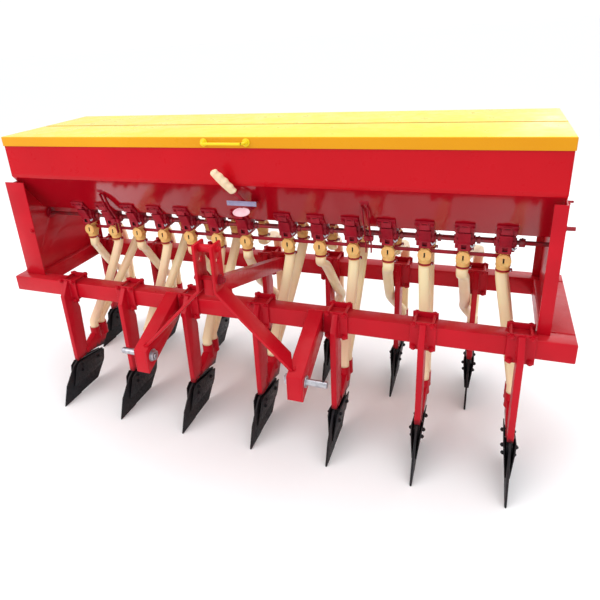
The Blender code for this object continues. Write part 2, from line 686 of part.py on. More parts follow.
def tube_stations(cup_x, row_y, tyne_x, face, pipe_y, over_beam):
    """Where a tube passes, from its funnel to its boot pipe."""
    socket_z = FUNNEL_Z - SOCKET_DROP
    foot = BOOT_TOP + SEAT_GAP
    start = (cup_x, row_y, socket_z + TUBE_START)
    drop = (cup_x, row_y, socket_z - TUBE_DROP)
    last = (tyne_x, face + pipe_y, foot + TUBE_DROP)
    if face == FRONT_FACE:
        bulge_y = (row_y + face + pipe_y) / 2 + FRONT_BULGE
        bulge = ((cup_x + tyne_x) / 2, bulge_y, (socket_z + foot) / 2)
        return [start, drop, bulge, last]
    if over_beam:
        crest = (tyne_x, face + pipe_y - BEAM_PASS_SET, BEAM_TOP + BEAM_PASS_RISE)
        behind = (tyne_x, face + pipe_y, BEAM_MID_Z)
        return [start, drop, crest, behind, last]
    side = 1 if cup_x > tyne_x else -1
    if abs(tyne_x) < ROW_PITCH:
        side = 1 if tyne_x > 0 else -1      # away from the stay
    beside = tyne_x + side * (SHANK_THICK / 2 + TUBE_RADIUS + TUBE_SIDE_GAP)
    middle = ((cup_x + beside) / 2, row_y + REAR_BULGE, (socket_z + BEAM_BASE) / 2 + TUBE_DROP)
    before = (beside, face - TUBE_RADIUS - TUBE_START, BEAM_BASE - UNDER_BEAM)
    under = (beside, face + UNDER_SET, UNDER_Z)
    return [start, drop, middle, before, under, last]


def add_tubes(parts, name, row_y, side, pipe_y):
    """One row of funnels and seed tubes, linked by the bar that runs through the funnels."""
    link_y = sorted((row_y - side * LINK_SET, row_y - side * (LINK_SET + LINK_BAR)))
    places = cup_places()
    link = box((places[0], link_y[0], FUNNEL_Z - LINK_BAR / 2), (places[-1], link_y[1], FUNNEL_Z + LINK_BAR / 2))
    funnel = funnel_mesh(row_y, side)
    pieces = []
    for index, (cup_x, tyne_x) in enumerate(zip(places, row_places())):
        body = funnel.copy()
        body.transform(Matrix.Translation((cup_x, 0, 0)))
        pieces.append(body)
        face = FRONT_FACE if index % 2 else REAR_FACE
        stations = tube_stations(cup_x, row_y, tyne_x, face, pipe_y, over_beam=side > 0)
        foot = (stations[-1][0], stations[-1][1], BOOT_TOP + SEAT_GAP)
        pieces.append(rod(smooth_route(stations, 2) + [foot], TUBE_RADIUS))
    parts.add(name, union(link, *pieces), TUBE_CREAM, 0.45)


def add_rate_lever(parts):
    """Rate lever with its grip, and the blank scale plate that it passes."""
    corner, up = slope_end(-1)
    out = Vector((-abs(up.y), -abs(up.x)))
    seat = corner + up * LEVER_SEAT + out * SEAT_GAP * 6
    lever_z = seat.y - LEVER_DROP
    pivot = Vector((LEVER_PIVOT_X, seat.x - LEVER_PIVOT_OUT, lever_z))
    tip = Vector((LEVER_TIP_X, BOX_Y0 - LEVER_TIP_OUT, LEVER_TIP_Z))
    grip_start = tip.lerp(pivot, GRIP_SHARE)
    stem = rod([pivot, grip_start.lerp(tip, 0.2)], LEVER_RADIUS)
    grip = cylinder(grip_start, tip, GRIP_RADIUS, 8)
    hub_rear = Vector((LEVER_PIVOT_X, seat.x - SCALE_SHEET, lever_z))
    hub = cylinder(hub_rear, hub_rear - Vector((0, LEVER_HUB_LENGTH, 0)), LEVER_HUB_RADIUS, 8)
    parts.add("rate_lever", union(stem, grip, hub), TUBE_CREAM, 0.5)

    face = seat.x - SCALE_OUT
    top = seat.y + SCALE_TOP_RISE
    base = top - SCALE_HEIGHT
    scale = box((SCALE_X0, face, base), (SCALE_X1, face + SCALE_SHEET, top))
    foot = seat + up * SCALE_BRACKET_FOOT
    behind = face + SCALE_SHEET / 2
    bracket = [(behind, base + SCALE_SHEET), (foot.x - SCALE_SHEET * 3, base + SCALE_SHEET), tuple(foot),
               (behind, top - SCALE_SHEET)]
    parts.add("rate_scale", union(scale, side_plate(bracket, SCALE_BRACKET, SCALE_BRACKET_X)), PLATE_GREY, 0.4)


# ---------------------------------------------------------------- tynes and openers
def tyne_mesh():
    """Shank, clamp plates with their bolts, and double boot, for a beam whose front face is y = 0."""
    front_back = -SEAT_GAP
    rear_front = BEAM_SIDE + SEAT_GAP
    half_w, half_h = CLAMP_WIDTH / 2, CLAMP_HEIGHT / 2
    low_z, high_z = BEAM_MID_Z - half_h, BEAM_MID_Z + half_h
    clamp_front = box((-half_w, front_back - CLAMP_THICK, low_z), (half_w, front_back, high_z))
    clamp_rear = box((-half_w, rear_front, low_z), (half_w, rear_front + CLAMP_THICK, high_z))
    bolt_z = (BEAM_SIDE / 2 + half_h) / 2
    bolts = []
    for x in (CLAMP_BOLT_EDGE - half_w, half_w - CLAMP_BOLT_EDGE):
        for z in (BEAM_MID_Z - bolt_z, BEAM_MID_Z + bolt_z):
            ends = ((x, -CLAMP_THICK / 2, z), (x, rear_front + CLAMP_THICK / 2, z))
            bolts.append(cylinder(*ends, CLAMP_BOLT_RADIUS, 6))
    foot = OPENER_TOP + SEAT_GAP * 2
    plate_face = -CLAMP_THICK / 2
    weld = CLAMP_THICK / 2
    shank = [(plate_face, high_z - weld), (-SHANK_HEAD, high_z - weld),
             (-KNEE_REACH, BEAM_TOP - KNEE_DROP), (-KNEE_REACH, foot), (SHANK_HEEL * 0.6, foot),
             (SHANK_HEEL, low_z - KNEE_DROP), (SHANK_HEEL * 0.6, low_z - weld), (plate_face, low_z + weld)]
    pipe_top = BOOT_TOP - SEAT_GAP
    boot = [(BOOT_FRONT, pipe_top), (BOOT_REAR, pipe_top), (BOOT_PIPE_Y[1] - SHANK_HEEL, foot - SHANK_HEAD),
            (BOOT_FRONT, foot - weld), (SHANK_HEEL / 3, foot + weld), (SHANK_HEEL / 3, foot + SHANK_HEEL)]
    pieces = [clamp_front, clamp_rear, *bolts, side_plate(boot, BOOT_WIDTH, 0)]
    for pipe_y in BOOT_PIPE_Y:
        pipe = cylinder((0, pipe_y, BOOT_TOP - BOOT_PIPE_LENGTH), (0, pipe_y, BOOT_TOP), PIPE_RADIUS, 8)
        pieces.append(pipe)
    return union(side_plate(shank, SHANK_THICK, 0), *pieces)


def opener_mesh():
    """Flat-bottomed black shoe under a tyne, for a beam whose front face is y = 0."""
    return side_plate(OPENER_OUTLINE, OPENER_THICK, 0)


def add_tynes(parts):
    """A tyne and its opener on each row, alternately on the rear and the front beam."""
    tyne, opener = tyne_mesh(), opener_mesh()
    for index, x in enumerate(row_places()):
        face = FRONT_FACE if index % 2 else REAR_FACE
        number = f"{index + 1:02d}"
        stand = parts.empty("row_" + number, (x, face, 0))
        for name, mesh, colour in (("tyne_", tyne, ENAMEL_RED), ("opener_", opener, OPENER_BLACK)):
            placed = mesh.copy()
            placed.transform(Matrix.Translation((x, face, 0)))
            parts.add(name + number, placed, colour, 0.45, parent=stand, origin=(x, face, 0))


def main():
    """Build the drill."""
    clear_scene()
    parts = Parts(new_collection("seed_drill"))
    add_frame(parts)
    add_hitch(parts)
    add_box(parts)
    add_lids(parts)
    add_supports(parts)
    add_meters(parts, "front_meters", FRONT_ROW_Y, -1)
    add_meters(parts, "rear_meters", REAR_ROW_Y, 1)
    add_feed_shaft(parts, "front_feed_shaft", FRONT_ROW_Y, SUPPORT_X + SUPPORT_SHEET + SHAFT_STUB)
    add_feed_shaft(parts, "rear_feed_shaft", REAR_ROW_Y, BEAM_HALF)
    add_tubes(parts, "fertiliser_tubes", FRONT_ROW_Y, -1, BOOT_PIPE_Y[0])
    add_tubes(parts, "seed_tubes", REAR_ROW_Y, 1, BOOT_PIPE_Y[1])
    add_rate_lever(parts)
    add_tynes(parts)


main()
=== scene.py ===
"""Looks of the seed drill: rounded castings and plates, fittings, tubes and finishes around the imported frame.

Metres, +Z up, the hitch side faces -Y. Every piece takes its place from the frame's own boxes.
"""

from __future__ import annotations

import logging
import math
from contextlib import contextmanager
from dataclasses import dataclass
from enum import Enum
from typing import Callable, Iterable, Iterator, Sequence

import bmesh
import bpy
from mathutils import Matrix, Vector


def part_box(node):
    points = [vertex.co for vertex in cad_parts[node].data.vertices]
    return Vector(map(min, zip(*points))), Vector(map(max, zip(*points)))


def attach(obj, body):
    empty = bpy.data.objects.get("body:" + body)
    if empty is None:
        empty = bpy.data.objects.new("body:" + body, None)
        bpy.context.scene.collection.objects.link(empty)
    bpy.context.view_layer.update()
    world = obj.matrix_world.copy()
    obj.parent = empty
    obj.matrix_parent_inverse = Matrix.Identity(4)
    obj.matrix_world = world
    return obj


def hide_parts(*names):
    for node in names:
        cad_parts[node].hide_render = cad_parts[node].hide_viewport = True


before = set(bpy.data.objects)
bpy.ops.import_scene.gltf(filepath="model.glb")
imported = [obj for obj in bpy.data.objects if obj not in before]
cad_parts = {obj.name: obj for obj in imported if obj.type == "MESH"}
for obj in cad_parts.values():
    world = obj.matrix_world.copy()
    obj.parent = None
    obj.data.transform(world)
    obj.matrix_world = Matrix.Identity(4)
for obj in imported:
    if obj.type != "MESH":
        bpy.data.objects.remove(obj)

LOG = logging.getLogger("seed_drill")
ROW_COUNT = 14
SHARP_ANGLE = math.radians(32)
SHARP_TURN = math.radians(25)
WELD_DISTANCE = 0.00002

Spot = tuple[float, float]
Place = tuple[float, float, float]
Colour = tuple[float, float, float]
MeshPart = bmesh.types.BMFace | bmesh.types.BMEdge


class Side(Enum):
    """A side of the machine: left and front are -1, right and rear are 1."""

    LEFT = -1
    RIGHT = 1


class Row(Enum):
    """A row of metering cups, as its direction from the partition along Y."""

    FRONT = -1
    REAR = 1


class Facing(Enum):
    """The direction that a flat outline faces."""

    SIDE = "an outline of (y, z) that faces along X"
    FRONT = "an outline of (x, z) that faces along Y"
    TOP = "an outline of (x, y) that faces up"

    def place(self, across: float, up: float, depth: float) -> Vector:
        """Return the point of an outline's (across, up) at a depth."""
        if self is Facing.SIDE:
            return Vector((depth, across, up))
        if self is Facing.FRONT:
            return Vector((across, depth, up))
        return Vector((across, up, depth))

    @property
    def normal(self) -> Vector:
        """Return the unit vector that the outline is thick along."""
        return self.place(0, 0, 1)


# ---------------------------------------------------------------- finishes
def noise(nodes: bpy.types.Nodes, links: bpy.types.NodeLinks, spot: bpy.types.NodeSocket, scale: float,
          detail: float, rough: float = 0.5) -> bpy.types.NodeSocket:
    """Add a noise pattern.

    Args:
        nodes: The material's nodes.
        links: The material's links.
        spot: The coordinates that it reads.
        scale: Its fineness, per metre.
        detail: How many finer layers it has.
        rough: How strong the finer layers are.

    Returns:
        The pattern's value.
    """
    pattern = nodes.new("ShaderNodeTexNoise")
    pattern.inputs["Scale"].default_value = scale
    pattern.inputs["Detail"].default_value = detail
    pattern.inputs["Roughness"].default_value = rough
    links.new(spot, pattern.inputs["Vector"])
    return pattern.outputs["Fac"]


def ramp(nodes: bpy.types.Nodes, links: bpy.types.NodeLinks, value: bpy.types.NodeSocket,
         span: tuple[float, float], result: tuple[float, float] = (0.0, 1.0)) -> bpy.types.NodeSocket:
    """Map a span of a value to a span of results.

    Args:
        nodes: The material's nodes.
        links: The material's links.
        value: The value.
        span: The values where the result starts and ends.
        result: The result at either end.

    Returns:
        The mapped value.
    """
    scale = nodes.new("ShaderNodeMapRange")
    for name, number in zip(("From Min", "From Max", "To Min", "To Max"), (*span, *result)):
        scale.inputs[name].default_value = number
    links.new(value, scale.inputs["Value"])
    return scale.outputs["Result"]


def mixed(nodes: bpy.types.Nodes, under: Colour | None, over: Colour) -> bpy.types.Node:
    """Add a mix of two colours.

    Args:
        nodes: The material's nodes.
        under: The first colour, or None when it is linked.
        over: The second colour.

    Returns:
        The mix.
    """
    layer = nodes.new("ShaderNodeMix")
    layer.data_type = "RGBA"
    if under is not None:
        layer.inputs["A"].default_value = (*under, 1.0)
    layer.inputs["B"].default_value = (*over, 1.0)
    return layer


@dataclass(frozen=True)
class Finish:
    """A paint, metal or plastic, made as a node material on Object coordinates.

    Attributes:
        name: The finish's name.
        colour: Its main colour, linear.
        shade: The colour that patches of it drift towards.
        roughness: Middle of its roughness.
        metallic: 0 for paint and plastic, 1 for bare metal.
        coat: Weight of the clear gloss on top.
        drift: Size of the colour patches, per metre.
        relief: Strength of the fine relief.
        relief_scale: Fineness of the relief, per metre.
        dust_and_glare: How much pale dusting and painted highlight, for the sky's glare on top faces, lies on
            what faces up.
        subsurface: Weight of the light that passes inside, for plastic.
        scuff: Share of the surface that is scuffed to another roughness.
        dip: Height under which black overspray covers it, or 0 for none.
        specular: Strength of the plain reflection, 0.5 for common paint.
    """

    name: str
    colour: Colour
    shade: Colour
    roughness: float = 0.35
    metallic: float = 0.0
    coat: float = 0.0
    drift: float = 5.0
    relief: float = 0.05
    relief_scale: float = 260.0
    dust_and_glare: float = 0.0
    subsurface: float = 0.0
    scuff: float = 0.25
    dip: float = 0.0
    specular: float = 0.5

    def material(self) -> bpy.types.Material:
        """Build the node material once, and return it.

        Returns:
            The material of this finish.
        """
        known = bpy.data.materials.get(self.name)
        if known is not None:
            return known
        made = bpy.data.materials.new(self.name)
        made.use_nodes = True
        nodes, links = made.node_tree.nodes, made.node_tree.links
        shader = nodes["Principled BSDF"]
        shader.inputs["Metallic"].default_value = self.metallic
        shader.inputs["Coat Weight"].default_value = self.coat
        shader.inputs["Coat Roughness"].default_value = 0.08
        shader.inputs["Specular IOR Level"].default_value = self.specular
        shader.inputs["Subsurface Weight"].default_value = self.subsurface
        shader.inputs["Subsurface Scale"].default_value = 0.01
        place = nodes.new("ShaderNodeTexCoord")
        spot = place.outputs["Object"]

        patches = noise(nodes, links, spot, self.drift, 6.0)
        tint = mixed(nodes, self.colour, self.shade)
        links.new(ramp(nodes, links, patches, (0.35, 0.70)), tint.inputs["Factor"])
        colour = tint.outputs["Result"]
        if self.dust_and_glare > 0:
            colour = self._dust_and_painted_glare(nodes, links, place, colour)
        if self.dip > 0:
            colour = self._dipped(nodes, links, place, colour)
        links.new(colour, shader.inputs["Base Color"])

        scuffs = noise(nodes, links, spot, self.drift * 9, 8.0, 0.7)
        dull = min(1.0, self.roughness * (1 + self.scuff * 2))
        gloss = ramp(nodes, links, scuffs, (0.3, 0.75), (self.roughness * (1 - self.scuff), dull))
        links.new(gloss, shader.inputs["Roughness"])

        bump = nodes.new("ShaderNodeBump")
        bump.inputs["Strength"].default_value = self.relief
        bump.inputs["Distance"].default_value = 0.001
        links.new(noise(nodes, links, spot, self.relief_scale, 3.0), bump.inputs["Height"])
        links.new(bump.outputs["Normal"], shader.inputs["Normal"])
        return made

    def _dipped(self, nodes: bpy.types.Nodes, links: bpy.types.NodeLinks, place: bpy.types.Node,
                colour: bpy.types.NodeSocket) -> bpy.types.NodeSocket:
        """Fade the colour to black overspray under the dip height.

        Args:
            nodes: The material's nodes.
            links: The material's links.
            place: The texture coordinate node.
            colour: The colour above the overspray.

        Returns:
            The faded colour.
        """
        axes = nodes.new("ShaderNodeSeparateXYZ")
        links.new(place.outputs["Object"], axes.inputs["Vector"])
        wander = nodes.new("ShaderNodeMath")
        wander.operation = "MULTIPLY_ADD"
        wander.inputs[1].default_value = 0.055
        links.new(noise(nodes, links, place.outputs["Object"], 55.0, 8.0), wander.inputs[0])
        links.new(axes.outputs["Z"], wander.inputs[2])
        share = ramp(nodes, links, wander.outputs["Value"], (self.dip + 0.055, self.dip + 0.010))
        share.node.interpolation_type = "SMOOTHSTEP"
        layer = mixed(nodes, None, (0.014, 0.012, 0.013))
        links.new(share, layer.inputs["Factor"])
        links.new(colour, layer.inputs["A"])
        return layer.outputs["Result"]

    def _dust_and_painted_glare(self, nodes: bpy.types.Nodes, links: bpy.types.NodeLinks, place: bpy.types.Node,
                colour: bpy.types.NodeSocket) -> bpy.types.NodeSocket:
        """Lay a thin pale layer over the colour where the surface faces up: partly dusting, partly painted
        highlight for the sky's glare.

        Args:
            nodes: The material's nodes.
            links: The material's links.
            place: The texture coordinate node.
            colour: The colour under the dusting and painted highlight.

        Returns:
            The colour with the dusting and painted highlight laid on.
        """
        axes = nodes.new("ShaderNodeSeparateXYZ")
        links.new(place.outputs["Normal"], axes.inputs["Vector"])
        up = nodes.new("ShaderNodeMath")
        up.operation = "MULTIPLY"
        links.new(axes.outputs["Z"], up.inputs[0])
        links.new(noise(nodes, links, place.outputs["Object"], 14.0, 9.0, 0.65), up.inputs[1])
        share = ramp(nodes, links, up.outputs["Value"], (0.32, 0.75), (0.0, self.dust_and_glare))
        # Pale pinkish: dusting, and painted highlight for the sky's glare on top faces.
        layer = mixed(nodes, None, (0.62, 0.50, 0.44))
        links.new(share, layer.inputs["Factor"])
        links.new(colour, layer.inputs["A"])
        return layer.outputs["Result"]


# ENAMEL_RED's pale layer on up-facing faces is partly dusting and partly painted highlight, for the sky's glare
# on the tops of the beams.
ENAMEL_RED = Finish("enamel_red_paint", (0.52, 0.004, 0.014), (0.43, 0.003, 0.011), roughness=0.34,
                    coat=0.10, specular=0.12, dust_and_glare=0.03, relief=0.02)
TYNE_RED = Finish("tyne_red_paint", (0.50, 0.004, 0.015), (0.40, 0.003, 0.012), roughness=0.34,
                  coat=0.08, specular=0.12, relief=0.03, dip=0.195)
PANEL_RED = Finish("panel_red_paint", (0.54, 0.003, 0.010), (0.47, 0.002, 0.008), roughness=0.30,
                   coat=0.10, specular=0.10, drift=2.0, relief=0.0)
# The slopes' darker red is painted shade: the downward-facing slopes get less of the overhead light than the
# panels.
SLOPE_SHADED_RED = Finish("slope_painted_shade_red", (0.36, 0.002, 0.009), (0.30, 0.002, 0.008), roughness=0.09,
                   coat=0.35, specular=0.5, drift=2.0, relief=0.0)
CAST_RED = Finish("cast_red_paint", (0.34, 0.003, 0.016), (0.24, 0.002, 0.012), roughness=0.42,
                  coat=0.08, specular=0.25, drift=22.0, relief=0.35, relief_scale=420.0)
SHAFT_RED = Finish("rubbed_shaft_paint", (0.34, 0.006, 0.016), (0.16, 0.05, 0.05), roughness=0.40,
                   metallic=0.3, drift=40.0, relief=0.12, relief_scale=500.0)
LID_YELLOW = Finish("lid_yellow_paint", (0.80, 0.62, 0.006), (0.76, 0.56, 0.005), roughness=0.32,
                    coat=0.12, specular=0.2, drift=1.6, relief=0.0)
# The lips' amber is painted shade on the lid's yellow: the upright lips get less of the overhead light than the
# tops.
LIP_SHADED_YELLOW = Finish("lip_painted_shade_yellow", (0.66, 0.27, 0.002), (0.72, 0.33, 0.003), roughness=0.30,
                   coat=0.10, specular=0.15, drift=1.2, relief=0.0)
OPENER_BLACK = Finish("opener_black_paint", (0.006, 0.006, 0.009), (0.014, 0.008, 0.008), roughness=0.50,
                      specular=0.25, drift=9.0, relief=0.20, relief_scale=330.0, dust_and_glare=0.02, scuff=0.4)
PIN_STEEL = Finish("zinc_plated_pin", (0.52, 0.52, 0.55), (0.36, 0.35, 0.38), roughness=0.30,
                   metallic=1.0, drift=60.0, relief=0.10, relief_scale=700.0)
# The pinkish second colour, spread in wide patches, is painted reflection of the red paint and painted shade,
# over the hoses' own cream.
TUBE_CREAM = Finish("cream_tube", (0.93, 0.80, 0.47), (0.86, 0.56, 0.38), roughness=0.34,
                    subsurface=0.10, drift=2.2, relief=0.05, relief_scale=160.0)
FUNNEL_AMBER = Finish("amber_funnel", (0.84, 0.50, 0.16), (0.76, 0.42, 0.12), roughness=0.38,
                      subsurface=0.15, drift=30.0, relief=0.10, relief_scale=300.0)
GRIP_CREAM = Finish("grip_cream_plastic", (0.88, 0.74, 0.50), (0.80, 0.62, 0.38), roughness=0.42,
                    subsurface=0.15, drift=30.0, relief=0.10, relief_scale=300.0)
PALE_PLATE = Finish("pale_plate", (0.78, 0.42, 0.47), (0.86, 0.55, 0.60), roughness=0.30,
                    drift=40.0, relief=0.03)
SCALE_GREY = Finish("scale_plate_grey", (0.23, 0.20, 0.33), (0.32, 0.29, 0.42), roughness=0.34,
                    drift=35.0, relief=0.05, relief_scale=500.0)
# Near black laid on the walls of holes, pockets and slots: painted shade inside them.
SLOT_PAINTED_SHADE = Finish("slot_painted_shade", (0.010, 0.006, 0.006), (0.02, 0.012, 0.010), roughness=0.7, relief=0.1)


# ---------------------------------------------------------------- modelling helpers
def deselect() -> None:
    """Leave edit mode and select nothing."""
    if bpy.context.object is not None and bpy.context.object.mode != "OBJECT":
        bpy.ops.object.mode_set(mode="OBJECT")
    bpy.ops.object.select_all(action="DESELECT")


def activate(*pieces: bpy.types.Object) -> None:
    """Select only these pieces, the first one active."""
    deselect()
    for piece in pieces:
        piece.select_set(True)
    bpy.context.view_layer.objects.active = pieces[0]


@contextmanager
def editing(piece: bpy.types.Object, mode: str = "FACE") -> Iterator[bmesh.types.BMesh]:
    """Open a piece in edit mode with nothing selected.

    Args:
        piece: The mesh to edit.
        mode: VERT, EDGE or FACE, what is selected.

    Yields:
        The edit mesh.
    """
    activate(piece)
    bpy.ops.object.mode_set(mode="EDIT")
    bpy.ops.mesh.select_mode(type=mode)
    bpy.ops.mesh.select_all(action="DESELECT")
    yield bmesh.from_edit_mesh(piece.data)
    bpy.ops.object.mode_set(mode="OBJECT")


def pick(kind: str, piece: bpy.types.Object, test: Callable[[MeshPart], bool]) -> None:
    """Select what passes a test in edit mode, and nothing else.

    Args:
        kind: "faces" or "edges", as the select mode is.
        piece: The piece in edit mode.
        test: The test.
    """
    bpy.ops.mesh.select_all(action="DESELECT")
    for part in getattr(bmesh.from_edit_mesh(piece.data), kind):
        if test(part):
            part.select_set(True)
    bmesh.update_edit_mesh(piece.data)


def sharp(edge: bmesh.types.BMEdge) -> bool:
    """Say whether an edge turns enough to be rounded."""
    return len(edge.link_faces) == 2 and edge.calc_face_angle(0.0) > SHARP_TURN


def settle(piece: bpy.types.Object) -> bpy.types.Object:
    """Apply a piece's place, so that its object sits at the origin, and return it."""
    activate(piece)
    bpy.ops.object.transform_apply(location=True, rotation=True, scale=True)
    return piece


def block(low: Sequence[float], high: Sequence[float], bevel: float = 0.0,
          segments: int = 2) -> bpy.types.Object:
    """Model a block with rounded edges.

    Args:
        low: Its lowest corner.
        high: Its highest corner.
        bevel: Width of the rounding, or 0 for none.
        segments: Steps of the rounding.

    Returns:
        The block.
    """
    low_corner, high_corner = Vector(low), Vector(high)
    deselect()
    bpy.ops.mesh.primitive_cube_add(size=1, location=(low_corner + high_corner) / 2)
    piece = bpy.context.object
    piece.scale = high_corner - low_corner
    settle(piece)
    if bevel > 0:
        with editing(piece, "EDGE"):
            bpy.ops.mesh.select_all(action="SELECT")
            bpy.ops.mesh.bevel(offset=bevel, segments=segments, affect="EDGES")
    return piece


def drum(start: Sequence[float], end: Sequence[float], radius: float, sides: int = 24,
         bevel: float = 0.0) -> bpy.types.Object:
    """Model a cylinder between two points, with rounded rims.

    Args:
        start: Middle of its first end.
        end: Middle of its other end.
        radius: Its radius.
        sides: Sides around it.
        bevel: Width of the rims' rounding, or 0 for none.

    Returns:
        The cylinder.
    """
    first, last = Vector(start), Vector(end)
    run = last - first
    deselect()
    bpy.ops.mesh.primitive_cylinder_add(vertices=sides, radius=radius, depth=run.length)
    piece = bpy.context.object
    piece.matrix_world = facing((first + last) / 2, run)
    settle(piece)
    if bevel > 0:
        with editing(piece, "EDGE"):
            along = run.normalized()
            pick("edges", piece, lambda edge: any(len(face.verts) > 4 for face in edge.link_faces)
                 and abs((edge.verts[0].co - edge.verts[1].co).normalized().dot(along)) < 0.5)
            bpy.ops.mesh.bevel(offset=bevel, segments=2, affect="EDGES")
    return piece


def axle(start: float, end: float, spot: tuple[float, float], radius: float, sides: int = 24,
         bevel: float = 0.0) -> bpy.types.Object:
    """Model a cylinder along X.

    Args:
        start: The x of its first end.
        end: The x of its other end.
        spot: The (y, z) that it passes through.
        radius: Its radius.
        sides: Sides around it.
        bevel: Width of the rims' rounding, or 0 for none.

    Returns:
        The cylinder.
    """
    return drum((start, *spot), (end, *spot), radius, sides, bevel)


def copy_of(piece: bpy.types.Object, place: Matrix | None = None) -> bpy.types.Object:
    """Copy a piece with its own mesh.

    Args:
        piece: The piece to copy.
        place: The matrix that moves the copy. A mirrored copy has its faces turned back.

    Returns:
        The copy.
    """
    twin = bpy.data.objects.new(piece.name + "_copy", piece.data.copy())
    bpy.context.scene.collection.objects.link(twin)
    if place is not None:
        twin.data.transform(place)
        if place.determinant() < 0:
            twin.data.flip_normals()
    return twin


def joined(name: str, pieces: Sequence[bpy.types.Object]) -> bpy.types.Object:
    """Join pieces into one object.

    Args:
        name: The new object's name.
        pieces: What is joined. They are used up.

    Returns:
        The joined object.
    """
    activate(*pieces)
    if len(pieces) > 1:
        bpy.ops.object.join()
    whole = bpy.context.object
    whole.name = name
    whole.data.name = name
    return whole


def paint(piece: bpy.types.Object, finish: Finish) -> bpy.types.Object:
    """Give a piece one finish all over, and return it."""
    piece.data.materials.clear()
    piece.data.materials.append(finish.material())
    return piece


def recoat(piece: bpy.types.Object, finish: Finish, test: Callable[[bpy.types.MeshPolygon], bool]) -> None:
    """Give some faces of a piece a second finish.

    Args:
        piece: The painted piece.
        finish: The second finish.
        test: Says which faces take it.
    """
    piece.data.materials.append(finish.material())
    for face in piece.data.polygons:
        if test(face):
            face.material_index = len(piece.data.materials) - 1


def smooth(piece: bpy.types.Object, angle: float = SHARP_ANGLE) -> bpy.types.Object:
    """Shade a piece smooth with its sharp edges kept, and return it."""
    activate(piece)
    bpy.ops.object.shade_smooth_by_angle(angle=angle)
    return piece


def enlist(piece: bpy.types.Object, body: str, nodes: Iterable[str] = ()) -> None:
    """Tell the frame which body a piece rides on and the nodes that it stands for.

    Args:
        piece: The finished piece.
        body: The body that it moves with.
        nodes: The nodes that it stands for.
    """
    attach(piece, body)
    names = list(nodes)
    if names:
        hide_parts(*names)
    LOG.info("%s rides on %s, %d faces", piece.name, body, len(piece.data.polygons))


def plain_copy(node: str, name: str) -> bpy.types.Object:
    """Copy a node as clean, merged faces.

    Args:
        node: The node to copy.
        name: The copy's name.

    Returns:
        The copy.
    """
    twin = copy_of(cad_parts[node])
    twin.name = name
    with editing(twin, "VERT"):
        bpy.ops.mesh.select_all(action="SELECT")
        bpy.ops.mesh.remove_doubles(threshold=WELD_DISTANCE)
        bpy.ops.mesh.dissolve_limited(angle_limit=math.radians(1.0))
    return twin


def rounded_node(node: str, name: str, width: float, segments: int = 2) -> bpy.types.Object:
    """Copy a node as clean faces with rounded edges.

    Args:
        node: The node to copy.
        name: The copy's name.
        width: Width of the rounding.
        segments: Steps of the rounding.

    Returns:
        The rounded copy.
    """
    twin = plain_copy(node, name)
    modifier = twin.modifiers.new("rounding", "BEVEL")
    modifier.width = width
    modifier.segments = segments
    modifier.limit_method = "ANGLE"
    modifier.angle_limit = SHARP_TURN
    modifier.harden_normals = False
    activate(twin)
    bpy.ops.object.modifier_apply(modifier=modifier.name)
    return smooth(twin)


@dataclass(frozen=True)
class Bolt:
    """A hexagon nut on its washer, with a bolt end through it.

    Attributes:
        radius: Half the nut's width over its corners.
        height: The nut's height.
        finish: Its finish.
    """

    radius: float
    height: float
    finish: Finish

    def mesh(self) -> bpy.types.Mesh:
        """Model the bolt once, standing up from the origin.

        Returns:
            The mesh, to be copied.
        """
        name = f"bolt_{self.radius:.4f}_{self.finish.name}"
        known = bpy.data.meshes.get(name)
        if known is not None:
            return known
        washer = drum((0, 0, -0.001), (0, 0, 0.0018), self.radius * 1.25, 16)
        nut = drum((0, 0, 0.0015), (0, 0, self.height + 0.0015), self.radius, 6)
        with editing(nut, "FACE"):
            pick("faces", nut, lambda face: face.normal.z > 0.9)
            bpy.ops.mesh.inset(thickness=self.radius * 0.16, depth=0)
            bpy.ops.transform.translate(value=(0, 0, self.radius * 0.10))
        shank = drum((0, 0, 0), (0, 0, self.height + self.radius * 0.6), self.radius * 0.52, 12, 0.0008)
        whole = smooth(paint(joined(name, [washer, nut, shank]), self.finish))
        made = whole.data
        bpy.data.objects.remove(whole)
        return made

    def at(self, places: Iterable[Sequence[float]], direction: Sequence[float],
           spin: float = 0.2) -> list[bpy.types.Object]:
        """Copy the bolt to each place, each turned a little further than the last.

        Args:
            places: Where the bolts stand.
            direction: The direction that they face.
            spin: How far each is turned, in radians.

        Returns:
            The bolts.
        """
        made = []
        for index, place in enumerate(places):
            piece = bpy.data.objects.new("bolt", self.mesh().copy())
            piece.data.transform(facing(place, direction, spin * (index * 1.7 + 1)))
            bpy.context.scene.collection.objects.link(piece)
            made.append(piece)
        return made


def facing(place: Sequence[float], direction: Sequence[float], spin: float = 0.0) -> Matrix:
    """Return the matrix that stands a part, modelled up from the origin, at a place facing a direction."""
    turn = Vector(direction).to_track_quat("Z", "Y").to_matrix().to_4x4()
    return Matrix.Translation(Vector(place)) @ turn @ Matrix.Rotation(spin, 4, "Z")


def middle_of(node: str) -> Vector:
    """Return the middle of a node's box."""
    low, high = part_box(node)
    return (low + high) / 2


